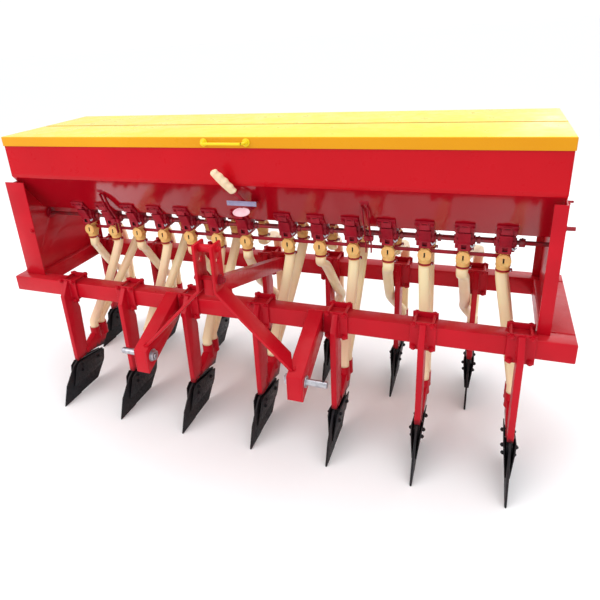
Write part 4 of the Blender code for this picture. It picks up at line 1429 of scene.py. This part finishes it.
# ---------------------------------------------------------------- metering
@dataclass
class Metering:
    """Rows of cast metering cups under the slopes, and the feed shafts through them.

    Attributes:
        body_half: Half the width of a cup's body.
        face_out: The body's front face from the middle of the row.
        base_z: Its underside.
        face_height: Height of its upright face.
        hole: Width and height of the square hole in its face.
        corner: Rounding of the casting's corners.
    """

    body_half: float = 0.024
    face_out: float = 0.0378
    base_z: float = 0.862
    face_height: float = 0.030
    hole: Spot = (0.019, 0.019)
    corner: float = 0.0022

    def build(self) -> None:
        """Make both rows and both shafts."""
        cup = self._cup(Bolt(0.0065, 0.005, CAST_RED))
        places = LAYOUT.cup_places()
        for row in Row:
            node = row.name.lower() + "_meters"
            cups = [copy_of(cup, LAYOUT.row_matrix(row, x)) for x in places]
            cups.append(self._rail(row, places))
            enlist(smooth(joined(node + "_cast", cups)), "frame", [node])
            self._shaft(row, places)
        bpy.data.objects.remove(cup)

    def _cup(self, bolt: Bolt) -> bpy.types.Object:
        """Make one cup of the front row, at x = 0.

        Args:
            bolt: The bolts that hold it.

        Returns:
            The cup.
        """
        row_y, shaft_z = LAYOUT.row_y(Row.FRONT), LAYOUT.shaft_z
        corner, up, out = LAYOUT.slope(Row.FRONT)
        face, back = row_y - self.face_out, row_y + self.face_out
        base, top = self.base_z, LAYOUT.floor_z - 0.0006
        half = self.body_half
        shoulder = corner + up * 0.018 + out * 0.0195
        outline = [(face, base), (back, base), (back, top), (row_y - 0.036, top), tuple(shoulder),
                   (face, base + self.face_height)]
        body = slab(outline, Facing.SIDE, 0.0, 2 * half, self.corner, 3)
        hole_half, hole_low = self.hole[0] / 2, base + 0.009
        pocket = block((-hole_half, face - 0.02, hole_low),
                       (hole_half, face + 0.013, hole_low + self.hole[1]))
        # The pocket's walls take painted shade, near black.
        body = carve(paint(body, CAST_RED), paint(pocket, SLOT_PAINTED_SHADE))

        outline = [(face + 0.012, base + 0.006), (back - 0.006, base + 0.006), (back - 0.006, top - 0.003),
                   (face + 0.004, top - 0.003)]
        wings = slab(outline, Facing.SIDE, 0.0, 2 * LAYOUT.cup_half - 0.004, self.corner, 2)
        seat = corner + out * 0.0008
        thick = out * 0.0075
        foot, end = seat + up * 0.006, seat + up * 0.0645
        outline = [foot, end, end + thick, foot + thick]
        flange = slab(outline, Facing.SIDE, 0.0, 2 * LAYOUT.cup_half, 0.0018, 2)
        rib_low = shoulder + up * 0.010 - out * 0.014
        outline = [shoulder - out * 0.010, rib_low + out * 0.017, rib_low + up * 0.028,
                   shoulder + up * 0.036 - out * 0.013]
        rib = slab(outline, Facing.SIDE, 0.0, 2 * half * 0.86, 0.002, 2)
        ledge_z = base + self.face_height
        ledge = block((-half - 0.001, face - 0.003, ledge_z - 0.002),
                      (half + 0.001, face + 0.010, ledge_z + 0.003), 0.0012)
        spout = block((-half + 0.002, row_y - 0.024, base + 0.0002),
                      (half - 0.002, row_y + 0.024, base + 0.008), 0.0015)
        tab = self._tab(corner, up, out)

        plain = [wings, flange, rib, ledge, spout]
        for side in Side:
            ends = (side.value * (LAYOUT.cup_half - 0.006), side.value * (LAYOUT.cup_half + 0.004))
            plain.append(axle(*ends, (row_y, shaft_z), 0.019, 28, 0.0018))
        whole = joined("cup_pattern", [body, tab] + [paint(piece, CAST_RED) for piece in plain])
        reach = 0.1
        whole = carve(whole, paint(axle(-reach, reach, (row_y, shaft_z), LAYOUT.bore, 24), CAST_RED))
        spot = seat + up * 0.048 + thick
        heads = []
        for x in (-0.030, 0.030):
            heads += bolt.at([(x, spot.x, spot.y)], (0, out.x, out.y), 0.3 + x)
            heads += bolt.at([(x, face + 0.010, base + 0.050)], (0, -1, 0), 0.5 - x)
        return joined("cup_pattern", [whole, *heads, self._wing_nut(face + 0.012)])

    def _tab(self, corner: Vector, up: Vector, out: Vector) -> bpy.types.Object:
        """Make the slotted tab on a cup's flange.

        Args:
            corner: The trough's corner, in (y, z).
            up: The direction up the slope.
            out: The direction out of it.

        Returns:
            The tab.
        """
        foot = corner + up * 0.046 + out * 0.008
        rise, thick = up * 0.017, out * 0.0045
        tab = slab([foot, foot + rise, foot + rise + thick, foot + thick], Facing.SIDE, 0.0, 0.030, 0.0014, 2)
        middle = foot + rise / 2
        slot = block((-0.010, -0.0018, -0.010), (0.010, 0.0018, 0.010))
        slot.data.transform(facing((0, middle.x, middle.y), (0, out.x, out.y)))
        # The slot's walls take painted shade, near black.
        return carve(paint(tab, CAST_RED), paint(slot, SLOT_PAINTED_SHADE))

    def _wing_nut(self, face: float) -> bpy.types.Object:
        """Make the wing nut that holds a cup's gate.

        Args:
            face: The face that it stands on.

        Returns:
            The wing nut.
        """
        x, z = 0.031, self.base_z + 0.020
        hub = drum((x, face, z), (x, face - 0.012, z), 0.0045, 14, 0.001)
        bends = ((-0.012, 0.005), (-0.003, -0.002), (0.003, -0.002), (0.012, 0.005), (0.010, 0.011),
                 (0, 0.003), (-0.010, 0.011))
        outline = [(x + across, z + rise) for across, rise in bends]
        wing = slab(outline, Facing.FRONT, face - 0.008, 0.0022, 0.0007, 2)
        return paint(joined("wing_nut", [hub, wing]), PIN_STEEL)

    def _rail(self, row: Row, places: Sequence[float]) -> bpy.types.Object:
        """Make the flat rail behind a row's cups.

        Args:
            row: The row.
            places: The x of each cup.

        Returns:
            The rail.
        """
        rear = LAYOUT.row_y(row) - row.value * (self.face_out - 0.003)
        edges = sorted((rear, rear + row.value * 0.012))
        top = LAYOUT.floor_z - 0.0015
        return paint(block((places[0], edges[0], top - 0.008), (places[-1], edges[1], top), 0.001), CAST_RED)

    def _shaft(self, row: Row, places: Sequence[float]) -> None:
        """Make a feed shaft with a collar and a set screw beside each cup.

        Args:
            row: The row that the shaft runs through.
            places: The x of each cup.
        """
        node = row.name.lower() + "_feed_shaft"
        y, z = LAYOUT.row_y(row), LAYOUT.shaft_z
        parts = self._bar(node, places[-1] + LAYOUT.cup_half)
        radius, long = 0.0145, 0.014
        for x in places[:-1]:
            start = x + LAYOUT.cup_half + 0.010
            middle = start + long / 2
            parts.append(axle(start, start + long, (y, z), radius, 28, 0.0015))
            parts.append(drum((middle, y, z), (middle, y, z + radius + 0.004), 0.003, 6, 0.0006))
        whole = smooth(paint(joined(node + "_turned", parts), SHAFT_RED))
        enlist(whole, row.name.lower() + "_feed", [node])

    def _bar(self, node: str, row_end: float) -> list[bpy.types.Object]:
        """Make a feed shaft's bar, its driving collar, and the nut on a long stub's end.

        Args:
            node: The shaft's node.
            row_end: The last cup's right side.

        Returns:
            The bar's pieces.
        """
        low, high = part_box(node)
        y, z = (low.y + high.y) / 2, (low.z + high.z) / 2
        radius, long = (high.z - low.z) / 2, 0.022
        start = row_end + 0.012
        middle = start + long / 2
        pieces = [axle(low.x, high.x, (y, z), 0.009, 32, 0.0015),
                  axle(start, start + long, (y, z), radius, 32, 0.002),
                  drum((middle, y, z), (middle, y, z + radius + 0.003), 0.0035, 6, 0.0006)]
        long_stub = 0.25
        if high.x > row_end - LAYOUT.cup_half + long_stub:
            end = high.x - 0.052
            pieces.append(axle(end, end + 0.014, (y, z), 0.0165, 28, 0.0018))
            pieces.append(axle(end + 0.013, end + 0.020, (y, z), 0.013, 6, 0.001))
        return pieces


# ---------------------------------------------------------------- tubes
@dataclass
class Tubes:
    """Funnels with slotted discs, and the hoses from them to the boots.

    Attributes:
        disc_radius: Radius of a funnel's disc.
        disc_z: The disc's middle.
        face_out: The disc's face from the middle of the row.
        slot: Width and height of the slot in the disc.
        hose_width: A hose's width.
        hose_depth: A hose's other diameter.
        socket_drop: The socket's foot under the disc's middle.
        beam_pass: How far above the rear beam, and ahead of its pipe, a rear hose passes.
        side_stand: How far beside its tyne a front hose comes down.
        tube_steps: Points for each stretch of a hose.
    """

    disc_radius: float = 0.0285
    disc_z: float = 0.826
    face_out: float = 0.027
    slot: Spot = (0.0062, 0.024)
    hose_width: float = 0.047
    hose_depth: float = 0.036
    socket_drop: float = 0.052
    beam_pass: Spot = (0.075, 0.045)
    side_stand: float = 0.041
    tube_steps: int = 7

    def build(self) -> None:
        """Make both rows."""
        pattern = self._funnel()
        places = LAYOUT.cup_places()
        for row, node in ((Row.FRONT, "fertiliser_tubes"), (Row.REAR, "seed_tubes")):
            funnels = [copy_of(pattern, LAYOUT.row_matrix(row, x)) for x in places]
            hoses = []
            for index, x in enumerate(places):
                tube = hose(self._route(row, x, index), self.hose_width, self.hose_depth, 24, 0.35)
                hoses.append(paint(tube, TUBE_CREAM))
            funnels.append(self._bar(row, places))
            enlist(smooth(joined(node + "_hoses", hoses), math.radians(28)), "frame", [node])
            enlist(smooth(joined(node + "_funnels", funnels)), "frame", [node])
        bpy.data.objects.remove(pattern)

    def _route(self, row: Row, cup_x: float, index: int) -> list[Vector]:
        """Find the points of a hose from its funnel to its boot pipe.

        Args:
            row: The row of the funnel.
            cup_x: The funnel's x.
            index: The tyne's number, from 0 at the left.

        Returns:
            The hose's points.
        """
        tyne_x, face = LAYOUT.tyne_place(index)
        row_y = LAYOUT.row_y(row)
        beam_low, beam_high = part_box("rear_beam")
        pipe_y = face + LAYOUT.boot_pipes[0 if row is Row.FRONT else 1]
        socket_z = self.disc_z - self.socket_drop
        start, drop = (cup_x, row_y, socket_z + 0.010), (cup_x, row_y, socket_z - 0.030)
        last = (tyne_x, pipe_y, LAYOUT.boot_top + 0.030)
        if index % 2:
            bulge = ((cup_x + tyne_x) / 2, (row_y + pipe_y) / 2 + 0.020, (socket_z + LAYOUT.boot_top) / 2)
            stations = [start, drop, bulge, last]
        elif row is Row.REAR:
            rise, back = self.beam_pass
            stations = [start, drop, (tyne_x, pipe_y - back, beam_high.z + rise),
                        (tyne_x, pipe_y, (beam_low.z + beam_high.z) / 2), last]
        else:
            side = 1 if cup_x > tyne_x else -1
            if abs(tyne_x) < 2 * self.side_stand + 0.05:
                side = 1 if tyne_x > 0 else -1
            beside = tyne_x + side * self.side_stand
            across = ((cup_x + beside) / 2, row_y + 0.090, (socket_z + beam_low.z) / 2 + 0.030)
            stations = [start, drop, across, (beside, face - 0.031, beam_low.z - 0.045),
                        (beside, face + 0.055, 0.415), last]
        ends = [Vector((tyne_x, pipe_y, LAYOUT.boot_top - depth)) for depth in (0.0, 0.035)]
        return smooth_route(stations, self.tube_steps) + ends

    def _funnel(self) -> bpy.types.Object:
        """Make one funnel of the front row, at x = 0.

        Returns:
            The funnel.
        """
        row_y, z = LAYOUT.row_y(Row.FRONT), self.disc_z
        face = row_y - self.face_out
        disc = drum((0, face, z), (0, face + 0.013, z), self.disc_radius, 40, 0.0022)
        with editing(disc):
            pick("faces", disc, lambda part: part.normal.y < -0.9 and len(part.verts) > 8)
            bpy.ops.mesh.inset(thickness=0.0028, depth=-0.0012)
            bpy.ops.mesh.inset(thickness=0.0012, depth=0.0008)
        slot_half, slot_high = self.slot[0] / 2, self.slot[1] / 2
        cutter = block((-slot_half, face - 0.01, z - slot_high),
                       (slot_half, face + 0.008, z + slot_high), 0.0012)
        # The slot's walls take painted shade, near black.
        disc = carve(paint(disc, FUNNEL_AMBER), paint(cutter, SLOT_PAINTED_SHADE))
        barrel = drum((0, face + 0.012, z), (0, face + 0.046, z), self.disc_radius * 0.84, 36, 0.0015)
        rear_rim = drum((0, face + 0.043, z), (0, face + 0.0498, z), self.disc_radius * 0.93, 36, 0.0018)
        # A small round hollow in the rear rim, its walls in painted shade.
        dot = paint(drum((0, face + 0.040, z + 0.002), (0, face + 0.06, z + 0.002), 0.0045, 16), SLOT_PAINTED_SHADE)
        rear_rim = carve(paint(rear_rim, FUNNEL_AMBER), dot)
        neck = block((-0.017, row_y - 0.017, z + 0.012), (0.017, row_y + 0.017, z + 0.034), 0.003, 3)
        lip = block((-0.022, row_y - 0.022, z + 0.0295), (0.022, row_y + 0.022, z + 0.0357), 0.0018, 2)
        socket_z = z - self.socket_drop
        socket = drum((0, row_y, socket_z), (0, row_y, z - 0.010), 0.0262, 36, 0.002)
        collar = drum((0, row_y, z - 0.028), (0, row_y, z - 0.018), 0.0285, 36, 0.0022)
        clip = drum((0, row_y, socket_z + 0.004), (0, row_y, socket_z + 0.013), 0.0275, 36, 0.0012)
        lug = block((0.024, row_y - 0.007, socket_z + 0.003),
                    (0.036, row_y + 0.007, socket_z + 0.014), 0.0012)
        screw_z = socket_z + 0.0085
        screw = drum((0.030, row_y - 0.013, screw_z), (0.030, row_y + 0.013, screw_z), 0.003, 12, 0.0006)
        amber = [paint(piece, FUNNEL_AMBER) for piece in (barrel, neck, lip, socket, collar)]
        dark = [paint(piece, CAST_RED) for piece in (clip, lug)]
        return joined("funnel_pattern", [disc, rear_rim, *amber, *dark, paint(screw, PIN_STEEL)])

    def _bar(self, row: Row, places: Sequence[float]) -> bpy.types.Object:
        """Make the flat gate bar that runs through a row's funnels.

        Args:
            row: The row.
            places: The x of each funnel.

        Returns:
            The bar.
        """
        rear = LAYOUT.row_y(row) - row.value * 0.006
        edges = sorted((rear, rear - row.value * 0.005))
        z = self.disc_z + 0.010
        bar = block((places[0] - 0.02, edges[0], z - 0.008), (places[-1] + 0.02, edges[1], z + 0.008), 0.001)
        return paint(bar, CAST_RED)


# ---------------------------------------------------------------- lever, plates and straps
@dataclass
class RateControl:
    """The rate lever with its moulded grip, its blank plates, and the straps under the slope.

    Attributes:
        pivot_x: The lever's pivot.
        seat_up: The pivot's place up the front slope.
        pivot_out: The pivot's distance from the slope.
        tip: The grip's end, its y from the front panel.
        grip_share: The share of the lever left bare under the grip.
        grip_rings: Rings of faces along the grip.
        oval: Half the oval plate's width and height.
        strap_places: Middle of each pair of straps.
    """

    pivot_x: float = 0.044
    seat_up: float = 0.135
    pivot_out: float = 0.037
    tip: Place = (-0.062, -0.065, 1.221)
    grip_share: float = 0.56
    grip_rings: int = 44
    oval: Spot = (0.040, 0.0195)
    strap_places: tuple[float, ...] = (-0.748, 0.530)

    def build(self) -> None:
        """Make the lever, the plates and the straps."""
        corner, up, out = LAYOUT.slope(Row.FRONT)
        seat = corner + up * self.seat_up
        self._lever(seat)
        self._plates()
        self._straps(corner, up, out)

    def _lever(self, seat: Vector) -> None:
        """Make the lever with its hub and grip.

        Args:
            seat: The slope behind the pivot, in (y, z).
        """
        front_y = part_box("hopper_end_left")[0].y
        pivot_z = seat.y - 0.014
        pivot = Vector((self.pivot_x, seat.x - self.pivot_out, pivot_z))
        tip = Vector((self.tip[0], front_y + self.tip[1], self.tip[2]))
        grip_start = tip.lerp(pivot, self.grip_share)
        stem = hose([pivot, pivot.lerp(tip, 0.2), grip_start.lerp(tip, 0.15)], 0.0145, 0.008, 20, 0.7)
        hub_end = (self.pivot_x, seat.x - 0.040, pivot_z)
        hub = drum((self.pivot_x, seat.x - 0.003, pivot_z), hub_end, 0.0145, 28, 0.002)
        nut = Bolt(0.012, 0.008, CAST_RED).at([hub_end], (0, -1, 0))
        grip = self._grip(grip_start, tip)
        metal = [paint(piece, CAST_RED) for piece in (stem, hub, *nut)]
        whole = joined("rate_lever_grip", [paint(grip, GRIP_CREAM), *metal])
        enlist(smooth(whole), "frame", ["rate_lever"])

    def _grip(self, start: Vector, tip: Vector) -> bpy.types.Object:
        """Make the moulded grip with finger grooves along its upper right side.

        Args:
            start: Its lower end.
            tip: Its upper end.

        Returns:
            The grip.
        """
        route = [start.lerp(tip, index / self.grip_rings) for index in range(self.grip_rings + 1)]
        grip = hose(route, 0.042, 0.026, 28, 0.5)
        axis = (tip - start).normalized()
        fingers, finger_side = 4, Vector((0.82, -0.30, 0.48))
        with editing(grip, "VERT") as shape:
            for vert in shape.verts:
                along = (vert.co - start).dot(axis)
                share = along / (tip - start).length
                centre = start + axis * along
                outward = vert.co - centre
                below = max(0.0, outward.normalized().dot(finger_side))
                groove = 0.5 - 0.5 * math.cos(share * math.tau * fingers)
                ends = min(1.0, 0.72 + 0.28 * math.sqrt(max(0.0, min(share, 1 - share)) / 0.05))
                swell = (0.88 + 0.16 * math.sin(share * math.pi)) * ends
                vert.co = centre + outward * swell * (1 - 0.20 * groove * below)
            bmesh.update_edit_mesh(grip.data)
        return grip

    def _plates(self) -> None:
        """Make the blank scale plate on its bracket, and the blank oval plate under it."""
        low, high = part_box("rate_scale")
        scale = block((low.x, low.y, low.z), (high.x, low.y + 0.003, high.z), 0.0008)
        with editing(scale):
            pick("faces", scale, lambda face: face.normal.y < -0.9 and face.calc_area() > 0.001)
            bpy.ops.mesh.inset(thickness=0.0022, depth=0)
            bpy.ops.mesh.inset(thickness=0.0006, depth=-0.0006)
        bracket = rounded_node("rate_scale", "scale_bracket", 0.0006)
        with editing(bracket, "VERT") as shape:
            for vert in shape.verts:
                vert.select_set(vert.co.y < low.y + 0.0034)
            bmesh.update_edit_mesh(bracket.data)
            bpy.ops.transform.translate(value=(0, 0.0016, 0))
        parts = [paint(scale, SCALE_GREY), paint(bracket, CAST_RED)]
        rivet_z = high.z - 0.0105
        for x in (low.x + 0.008, high.x - 0.008):
            rivet = drum((x, low.y + 0.001, rivet_z), (x, low.y - 0.002, rivet_z), 0.0026, 14, 0.0007)
            parts.append(paint(rivet, PIN_STEEL))
        middle = Vector((0.012, low.y + 0.014, high.z - 0.053))
        turns = [math.tau * step / 36 for step in range(36)]
        outline = [(self.oval[0] * math.cos(turn), self.oval[1] * math.sin(turn)) for turn in turns]
        oval = slab(outline, Facing.TOP, 0.0, 0.002, 0.0006)
        with editing(oval):
            pick("faces", oval, lambda face: face.normal.z > 0.9 and len(face.verts) > 8)
            bpy.ops.mesh.inset(thickness=0.003, depth=-0.0005)
        oval.data.transform(facing(middle, (0, -0.92, 0.38)) @ Matrix.Rotation(math.radians(6), 4, "Z"))
        link = block((middle.x - 0.006, middle.y + 0.006, middle.z + 0.011),
                     (middle.x + 0.006, middle.y + 0.009, high.z - 0.010), 0.0008)
        parts += [paint(oval, PALE_PLATE), paint(link, CAST_RED)]
        enlist(smooth(joined("rate_scale_plates", parts)), "frame", ["rate_scale"])

    def _straps(self, corner: Vector, up: Vector, out: Vector) -> None:
        """Make the pairs of flat straps that hang from the slope, in front of the cups.

        Args:
            corner: The trough's corner, in (y, z).
            up: The direction up the slope.
            out: The direction out of it.
        """
        parts = []
        for x in self.strap_places:
            top, knee = corner + up * 0.150 + out * 0.004, corner + up * 0.075 + out * 0.026
            foot = Vector((corner.x - 0.006, LAYOUT.floor_z - 0.115))
            bends = (top, knee, Vector((foot.x - 0.012, 0.905)), foot)
            for offset in (-0.011, 0.011):
                stations = [(x + offset, place.x, place.y) for place in bends]
                parts.append(hose(smooth_route(stations, 6), 0.0055, 0.014, 16, 0.8))
            parts.append(slab([(top.x - 0.002, top.y + 0.006), (top.x + 0.004, top.y + 0.013),
                               (top.x - 0.010, top.y + 0.032), (top.x - 0.016, top.y + 0.028)],
                              Facing.SIDE, x, 0.034, 0.0008))
            parts.append(block((x - 0.016, foot.x - 0.026, 0.890), (x + 0.022, foot.x - 0.004, 0.910), 0.002))
            parts += Bolt(0.0075, 0.006, CAST_RED).at([(x + 0.003, foot.x - 0.026, 0.900)], (0, -1, 0))
        enlist(smooth(paint(joined("slope_straps", parts), CAST_RED)), "frame")


# ---------------------------------------------------------------- tynes and openers
@dataclass
class Tynes:
    """Fourteen shanks with clamps, bolts and double boots, and their black shoe openers.

    Attributes:
        clamp_half: Half the clamp plates' width.
        clamp_rise: Half their height.
        clamp_thickness: Their thickness.
        bolt_half: Half the distance between the bolts.
        shank_thickness: The shank's thickness.
        knee_reach: The shank's front edge ahead of the beam's face.
        knee_drop: The shank's knee under the beam's top.
        pipe_radius: Radius of a boot's pipes.
        opener_thickness: The opener blade's thickness.
        opener_top: Its highest point.
        cheek_thickness: Thickness of the cheeks beside it.
        cheek_low: Where the cheeks start to stand away from it.
        foot_gap: Room between the opener and what stands on it.
    """

    clamp_half: float = 0.050
    clamp_rise: float = 0.061
    clamp_thickness: float = 0.010
    bolt_half: float = 0.035
    shank_thickness: float = 0.024
    knee_reach: float = 0.063
    knee_drop: float = 0.052
    pipe_radius: float = 0.026
    opener_thickness: float = 0.009
    opener_top: float = 0.188
    cheek_thickness: float = 0.005
    cheek_low: float = 0.066
    foot_gap: float = 0.0006

    def build(self) -> None:
        """Make one tyne and one opener, and copy them to each row."""
        tyne, opener = self._tyne(), self._opener()
        for index in range(ROW_COUNT):
            x, face = LAYOUT.tyne_place(index)
            number = f"{index + 1:02d}"
            move = Matrix.Translation((x, face, 0))
            for pattern, node, slot in ((tyne, "tyne_", "enamel_red"), (opener, "opener_", "opener_black")):
                piece = copy_of(pattern, move)
                piece.name = node + number + "_dressed"
                piece.data.name = piece.name
                enlist(smooth(piece), "frame", [node + number])
        for pattern in (tyne, opener):
            bpy.data.objects.remove(pattern)

    def _tyne(self) -> bpy.types.Object:
        """Make a tyne for a beam whose front face is y = 0.

        Returns:
            The tyne.
        """
        low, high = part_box("front_beam")
        side, middle_z = high.y - low.y, (low.z + high.z) / 2
        low_z, high_z = middle_z - self.clamp_rise, middle_z + self.clamp_rise
        half, thick = self.clamp_half, self.clamp_thickness
        pieces = [block((-half, -thick, low_z), (half, -0.0003, high_z), 0.0022, 3),
                  block((-half, side + 0.0003, low_z), (half, side + thick, high_z), 0.0022, 3)]
        bolt = Bolt(0.0105, 0.008, TYNE_RED)
        bolt_rise = (side / 2 + self.clamp_rise) / 2
        spots = [(x, middle_z + z) for x in (-self.bolt_half, self.bolt_half)
                 for z in (-bolt_rise, bolt_rise)]
        rods = [drum((x, -0.005, z), (x, side + 0.005, z), 0.006, 16) for x, z in spots]
        pieces += bolt.at([(x, -thick, z) for x, z in spots], (0, -1, 0))
        pieces += bolt.at([(x, side + thick, z) for x, z in spots], (0, 1, 0))
        pieces += self._shank(low_z, high_z)
        pieces += self._boot()
        return joined("tyne_pattern", [paint(piece, TYNE_RED) for piece in pieces]
                      + [paint(piece, ENAMEL_RED) for piece in rods])

    def _shank(self, low_z: float, high_z: float) -> list[bpy.types.Object]:
        """Make the shank, its gussets and the welds that hold it to the clamp.

        Args:
            low_z: The clamp's foot.
            high_z: The clamp's top.

        Returns:
            The shank's pieces.
        """
        beam_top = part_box("front_beam")[1].z
        foot = self.opener_top + self.foot_gap
        weld_step = self.clamp_thickness / 2
        knee_z = beam_top - self.knee_drop
        rear = 0.0204
        outline = [(-weld_step, high_z - weld_step), (-0.018, high_z - weld_step), (-self.knee_reach, knee_z),
                   (-self.knee_reach, foot), (rear, foot), (0.034, low_z - self.knee_drop),
                   (rear, low_z - weld_step), (-weld_step, low_z + weld_step)]
        pieces = [slab(outline, Facing.SIDE, 0.0, self.shank_thickness, 0.0025, 3)]
        front = -self.clamp_thickness
        for side in Side:
            x = side.value * self.shank_thickness / 2
            pieces.append(weld((x, front, low_z + 0.010), (x, front, high_z - 0.010), 0.0038))
            pieces.append(weld((x, -0.045, foot + 0.008), (x, 0.006, foot + 0.008), 0.0035))
        return pieces

    def _boot(self) -> list[bpy.types.Object]:
        """Make the double boot: two open pipes on a tapered body.

        Returns:
            The boot's pieces.
        """
        foot, top = self.opener_top + self.foot_gap, LAYOUT.boot_top
        front, rear, shank_side = 0.092, 0.206, 0.0113
        outline = [(front, top - 0.034), (rear, top - 0.034), (rear - 0.008, top - 0.060),
                   (0.145, foot - 0.018), (front, foot - 0.005), (shank_side, foot + 0.005),
                   (shank_side, foot + 0.034)]
        pieces = [slab(outline, Facing.SIDE, 0.0, 0.035, 0.004, 3)]
        for y in LAYOUT.boot_pipes:
            pipe = drum((0, y, top - 0.070), (0, y, top), self.pipe_radius, 36)
            with editing(pipe):
                pick("faces", pipe, lambda face: face.normal.z > 0.9)
                bpy.ops.mesh.inset(thickness=0.0022, depth=0)
                bpy.ops.mesh.extrude_region_move(TRANSFORM_OT_translate={"value": (0, 0, -0.045)})
            ring = drum((0, y, top - 0.071), (0, y, top - 0.064), self.pipe_radius + 0.001, 36, 0.0012)
            pieces += [pipe, ring]
        middle_y = sum(LAYOUT.boot_pipes) / 2
        for x in (-0.010, 0.010):
            pieces.append(weld((x, middle_y, top - 0.060), (x, middle_y, top - 0.006), 0.004))
        return pieces

    def _opener(self) -> bpy.types.Object:
        """Make a shoe opener for a beam whose front face is y = 0: a sharp plate between bolted cheeks.

        Returns:
            The opener.
        """
        step_y, step_z = -0.085, 0.006
        outline = [(-0.210, 0.0), (step_y, 0.0), (step_y + 0.002, step_z), (0.059, step_z), (0.132, 0.078),
                   (0.140, 0.150), (0.098, 0.160), (-0.065, self.opener_top), (-0.095, 0.174),
                   (-0.170, 0.096)]
        blade = slab(outline, Facing.SIDE, 0.0, self.opener_thickness, 0.0)
        with editing(blade, "EDGE"):
            pick("edges", blade, lambda edge: abs(edge.verts[0].co.x - edge.verts[1].co.x) < 0.0001
                 and all(vert.co.y < -0.08 or vert.co.z < 0.001 for vert in edge.verts))
            bpy.ops.mesh.bevel(offset=self.opener_thickness * 0.40, segments=2, affect="EDGES")
        pieces = [blade]
        cheek = [(-0.126, 0.068), (0.112, self.cheek_low), (0.127, 0.090), (0.134, 0.150), (0.098, 0.158),
                 (-0.060, self.opener_top - 0.002), (-0.090, 0.171)]
        bolt = Bolt(0.0085, 0.0070, OPENER_BLACK)
        spots = [(-0.048, 0.162), (-0.052, 0.128), (0.078, 0.136)]
        pieces.append(block((-0.013, -0.068, 0.118), (0.013, -0.030, 0.172), 0.002))
        pieces.append(block((-0.013, 0.060, 0.118), (0.013, 0.104, 0.150), 0.002))
        for side in Side:
            plate = slab(cheek, Facing.SIDE, 0.0, self.cheek_thickness, 0.0012, 2)
            with editing(plate, "VERT") as shape:
                for vert in shape.verts:
                    vert.co.x += side.value * self._flare(vert.co.z)
                bmesh.update_edit_mesh(plate.data)
            pieces.append(plate)
            for y, z in spots:
                face = side.value * (self._flare(z) + self.cheek_thickness / 2 - 0.0006)
                pieces += bolt.at([(face, y, z)], (side.value, 0, -0.12), 0.2 + 3 * y)
            seam_x = side.value * 0.0055
            pieces.append(weld((seam_x, -0.120, 0.069), (seam_x, 0.108, 0.067), 0.003))
        return joined("opener_pattern", [paint(piece, OPENER_BLACK) for piece in pieces])

    def _flare(self, z: float) -> float:
        """Return how far a cheek's middle stands from the blade's at a height."""
        return 0.0070 + max(0.0, z - self.cheek_low) * 0.125


def main() -> None:
    """Build the studio and each sub-assembly in turn."""
    logging.basicConfig(level=logging.INFO, format="%(message)s")
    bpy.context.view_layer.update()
    assemblies = (Studio(), MainFrame(), Hitch(), SeedBox(), Supports(), Metering(), Tubes(), RateControl(),
                  Tynes())
    for assembly in assemblies:
        assembly.build()
        LOG.info("%s built", type(assembly).__name__)
    deselect()


if __name__ == "__main__":
    main()
